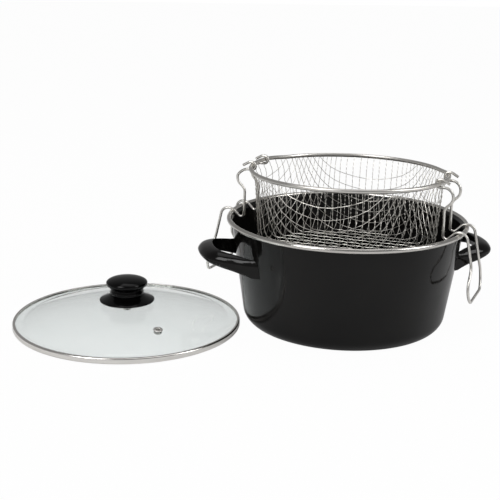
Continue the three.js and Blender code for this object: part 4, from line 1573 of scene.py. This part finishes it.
    def build(self, shop: Workshop) -> None:
        """Builds and dresses the lid's pieces.

        Args:
            shop: The workshop.
        """
        middle = (*self.centre, 0.0)
        phenolic = MouldedFinish("black phenolic", ((0.0012, 0.0012, 0.0013), (0.0022, 0.0022, 0.0023)),
                                 (0.06, 0.12), specular=0.17)
        silicone = MouldedFinish("grey silicone", ((0.50, 0.52, 0.50), (0.60, 0.62, 0.60)), (0.45, 0.6),
                                 ripple=(60.0, 900.0, 0.3), relief=0.0001)
        steel = SteelFinish("lid band steel", rough=(0.12, 0.24), centre=middle)
        small = SteelFinish("bright small parts", rough=(0.2, 0.35), centre=middle, fineness=3500.0)
        brass = SteelFinish("turned brass", ((0.55, 0.40, 0.17), (0.72, 0.56, 0.28)), centre=middle,
                            fineness=3500.0)
        seal, disc = self.seal_thick, self.washer_thick
        for piece, slot, node, finish in (
                (self.glass_disc(), Slot.LID_GLASS, "lid_glass", GlassFinish()),
                (self.band(), Slot.LID_STEEL, "lid_rim_band", steel),
                (self.vent(), Slot.LID_STEEL, "lid_vent_eyelet", small),
                (self.skirt(), Slot.PHENOLIC, "knob_skirt", phenolic),
                (self.grip(), Slot.PHENOLIC, "knob_grip", phenolic),
                (self.insert(), Slot.BRASS, "knob_insert", brass),
                (self.screw(), Slot.SCREW_STEEL, "knob_screw", small),
                (self.flat_ring("upper_seal", self.seal_radius, self.crown + self.gap, seal),
                 Slot.SILICONE, "knob_seal_upper", silicone),
                (self.flat_ring("lower_seal", self.seal_radius, self.lower_seal_top - seal, seal),
                 Slot.SILICONE, "knob_seal_lower", silicone),
                (self.flat_ring("plain_washer", self.washer_radius, self.washer_top - disc, disc),
                 Slot.SCREW_STEEL, "knob_washer", small)):
            shop.place(piece, Body.LID, slot, node, finish)


# ---- studio


@dataclass
class Studio:
    """Floor, lamps, world and camera, sizes in metres."""

    eye: Point = (-0.2267, -1.0227, 0.3714)
    heading: float = math.radians(83.03)
    dip: float = 0.2769
    roll: float = 0.0187
    lens: float = 73.78
    sensor: float = 36.0
    floor_size: float = 16.0
    seen_share: float = 0.975
    through_share: float = 0.79
    mirrored_share: float = 0.07

    def camera(self) -> None:
        """Places the camera."""
        data = bpy.data.cameras.new("view")
        data.lens, data.sensor_width = self.lens, self.sensor
        made = bpy.data.objects.new("view", data)
        bpy.context.scene.collection.objects.link(made)
        ahead = Vector((math.cos(self.heading) * math.cos(self.dip), math.sin(self.heading) * math.cos(self.dip),
                        -math.sin(self.dip)))
        right = ahead.cross(Vector((0, 0, 1))).normalized()
        up = right.cross(ahead)
        right, up = (right * math.cos(self.roll) + up * math.sin(self.roll),
                     up * math.cos(self.roll) - right * math.sin(self.roll))
        basis = Matrix((right, up, -ahead)).transposed().to_4x4()
        made.matrix_world = Matrix.Translation(self.eye) @ basis
        bpy.context.scene.camera = made

    def seen_mask(self, nodes: Nodes) -> Socket:
        """Share of plain white in the floor, for camera, see-through and mirror rays.

        Args:
            nodes: Nodes of the floor.

        Returns:
            Socket that holds the share.
        """
        path = nodes.add("LightPath").outputs
        seen = nodes.math("MULTIPLY", path["Is Camera Ray"], self.seen_share)
        through = nodes.math("MULTIPLY", path["Is Transmission Ray"], self.through_share)
        mirrored = nodes.math("MULTIPLY", path["Is Glossy Ray"], self.mirrored_share)
        return nodes.math("MAXIMUM", nodes.math("MAXIMUM", seen, through), mirrored)

    def floor(self) -> None:
        """Lays the pale floor, which keeps a soft shadow."""
        half = self.floor_size / 2
        made = new_object("floor", np.array([(-half, -half, 0), (half, -half, 0), (half, half, 0), (-half, half, 0)]),
                          [(0, 1, 2, 3)])
        material = bpy.data.materials.new("white sweep")
        material.use_nodes = True
        nodes = Nodes(material.node_tree)
        nodes.tree.nodes.clear()
        lit = nodes.add("BsdfDiffuse", {"Color": (0.82, 0.82, 0.82)})
        glow = nodes.add("Emission")
        mix = nodes.add("MixShader", {0: self.seen_mask(nodes), 1: lit.outputs[0], 2: glow.outputs[0]})
        nodes.add("OutputMaterial", {"Surface": mix.outputs[0]})
        made.data.materials.append(material)

    def world(self) -> None:
        """Sets the pale room: white where seen, softer as light."""
        world = bpy.data.worlds.new("room")
        bpy.context.scene.world = world
        world.use_nodes = True
        nodes = Nodes(world.node_tree)
        nodes.tree.nodes.clear()
        where = nodes.add("TexCoord").outputs["Generated"]
        fade = nodes.add("ValToRGB", {0: nodes.add("SeparateXYZ", {0: where}).outputs[2]})
        ramp = fade.color_ramp.elements
        for place, level in ((0.30, 0.28), (0.65, 0.24)):
            ramp.new(place).color = (level, level, level, 1.0)
        for place, level in ((0, 0.36), (-1, 0.16)):
            ramp[place].color = (level, level, level, 1.0)
        camera = nodes.add("LightPath").outputs["Is Camera Ray"]
        light = nodes.add("Mix", {0: camera, 2: fade.outputs["Color"], 3: 1.0})
        room = nodes.add("Background", {"Color": (1.0, 1.0, 1.0), "Strength": light.outputs[0]})
        nodes.add("OutputWorld", {"Surface": room.outputs[0]})

    def lamp(self, name: str, place: Point, target: Point,
             size: tuple[float, float], power: float) -> None:
        """Hangs one soft box.

        Args:
            name: Name of the lamp.
            place: Its middle.
            target: Point that it faces.
            size: Its width and height.
            power: Its power in watts.
        """
        data = bpy.data.lights.new(name, "AREA")
        data.shape = "RECTANGLE"
        data.size, data.size_y = size
        data.energy = power
        made = bpy.data.objects.new(name, data)
        bpy.context.scene.collection.objects.link(made)
        aim = (Vector(target) - Vector(place)).to_track_quat("-Z", "Y")
        made.matrix_world = Matrix.Translation(place) @ aim.to_matrix().to_4x4()

    def build(self) -> None:
        """Sets up floor, room, lamps and camera."""
        self.camera()
        self.floor()
        self.world()
        self.lamp("key soft box", (-1.1, -0.9, 1.3), (0.0, 0.0, 0.05), (0.7, 1.0), 14.0)
        self.lamp("fill soft box", (1.2, -0.6, 1.1), (0.0, 0.0, 0.05), (0.6, 1.0), 9.0)
        self.lamp("top soft box", (0.0, 0.2, 1.7), (-0.1, 0.0, 0.0), (1.4, 1.0), 5.0)
        bpy.context.scene.view_settings.view_transform = "Standard"


def main() -> None:
    """Builds every sub-assembly round the frame."""
    logging.basicConfig(level=logging.INFO, format="%(name)s: %(message)s")
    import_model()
    Studio().build()
    shop = Workshop()
    pot, basket = Pot(), Basket()
    pot.build(shop)
    basket.build(shop)
    right, left = basket.hook_turns
    Bail("right_bail", "basket_bail_right", Body.BAIL_RIGHT, right, pot, basket).build(shop)
    Bail("left_bail", "basket_bail_left", Body.BAIL_LEFT, left, pot, basket, askew=0.0035, splay=0.0026).build(shop)
    Lid().build(shop)


if __name__ == "__main__":
    main()
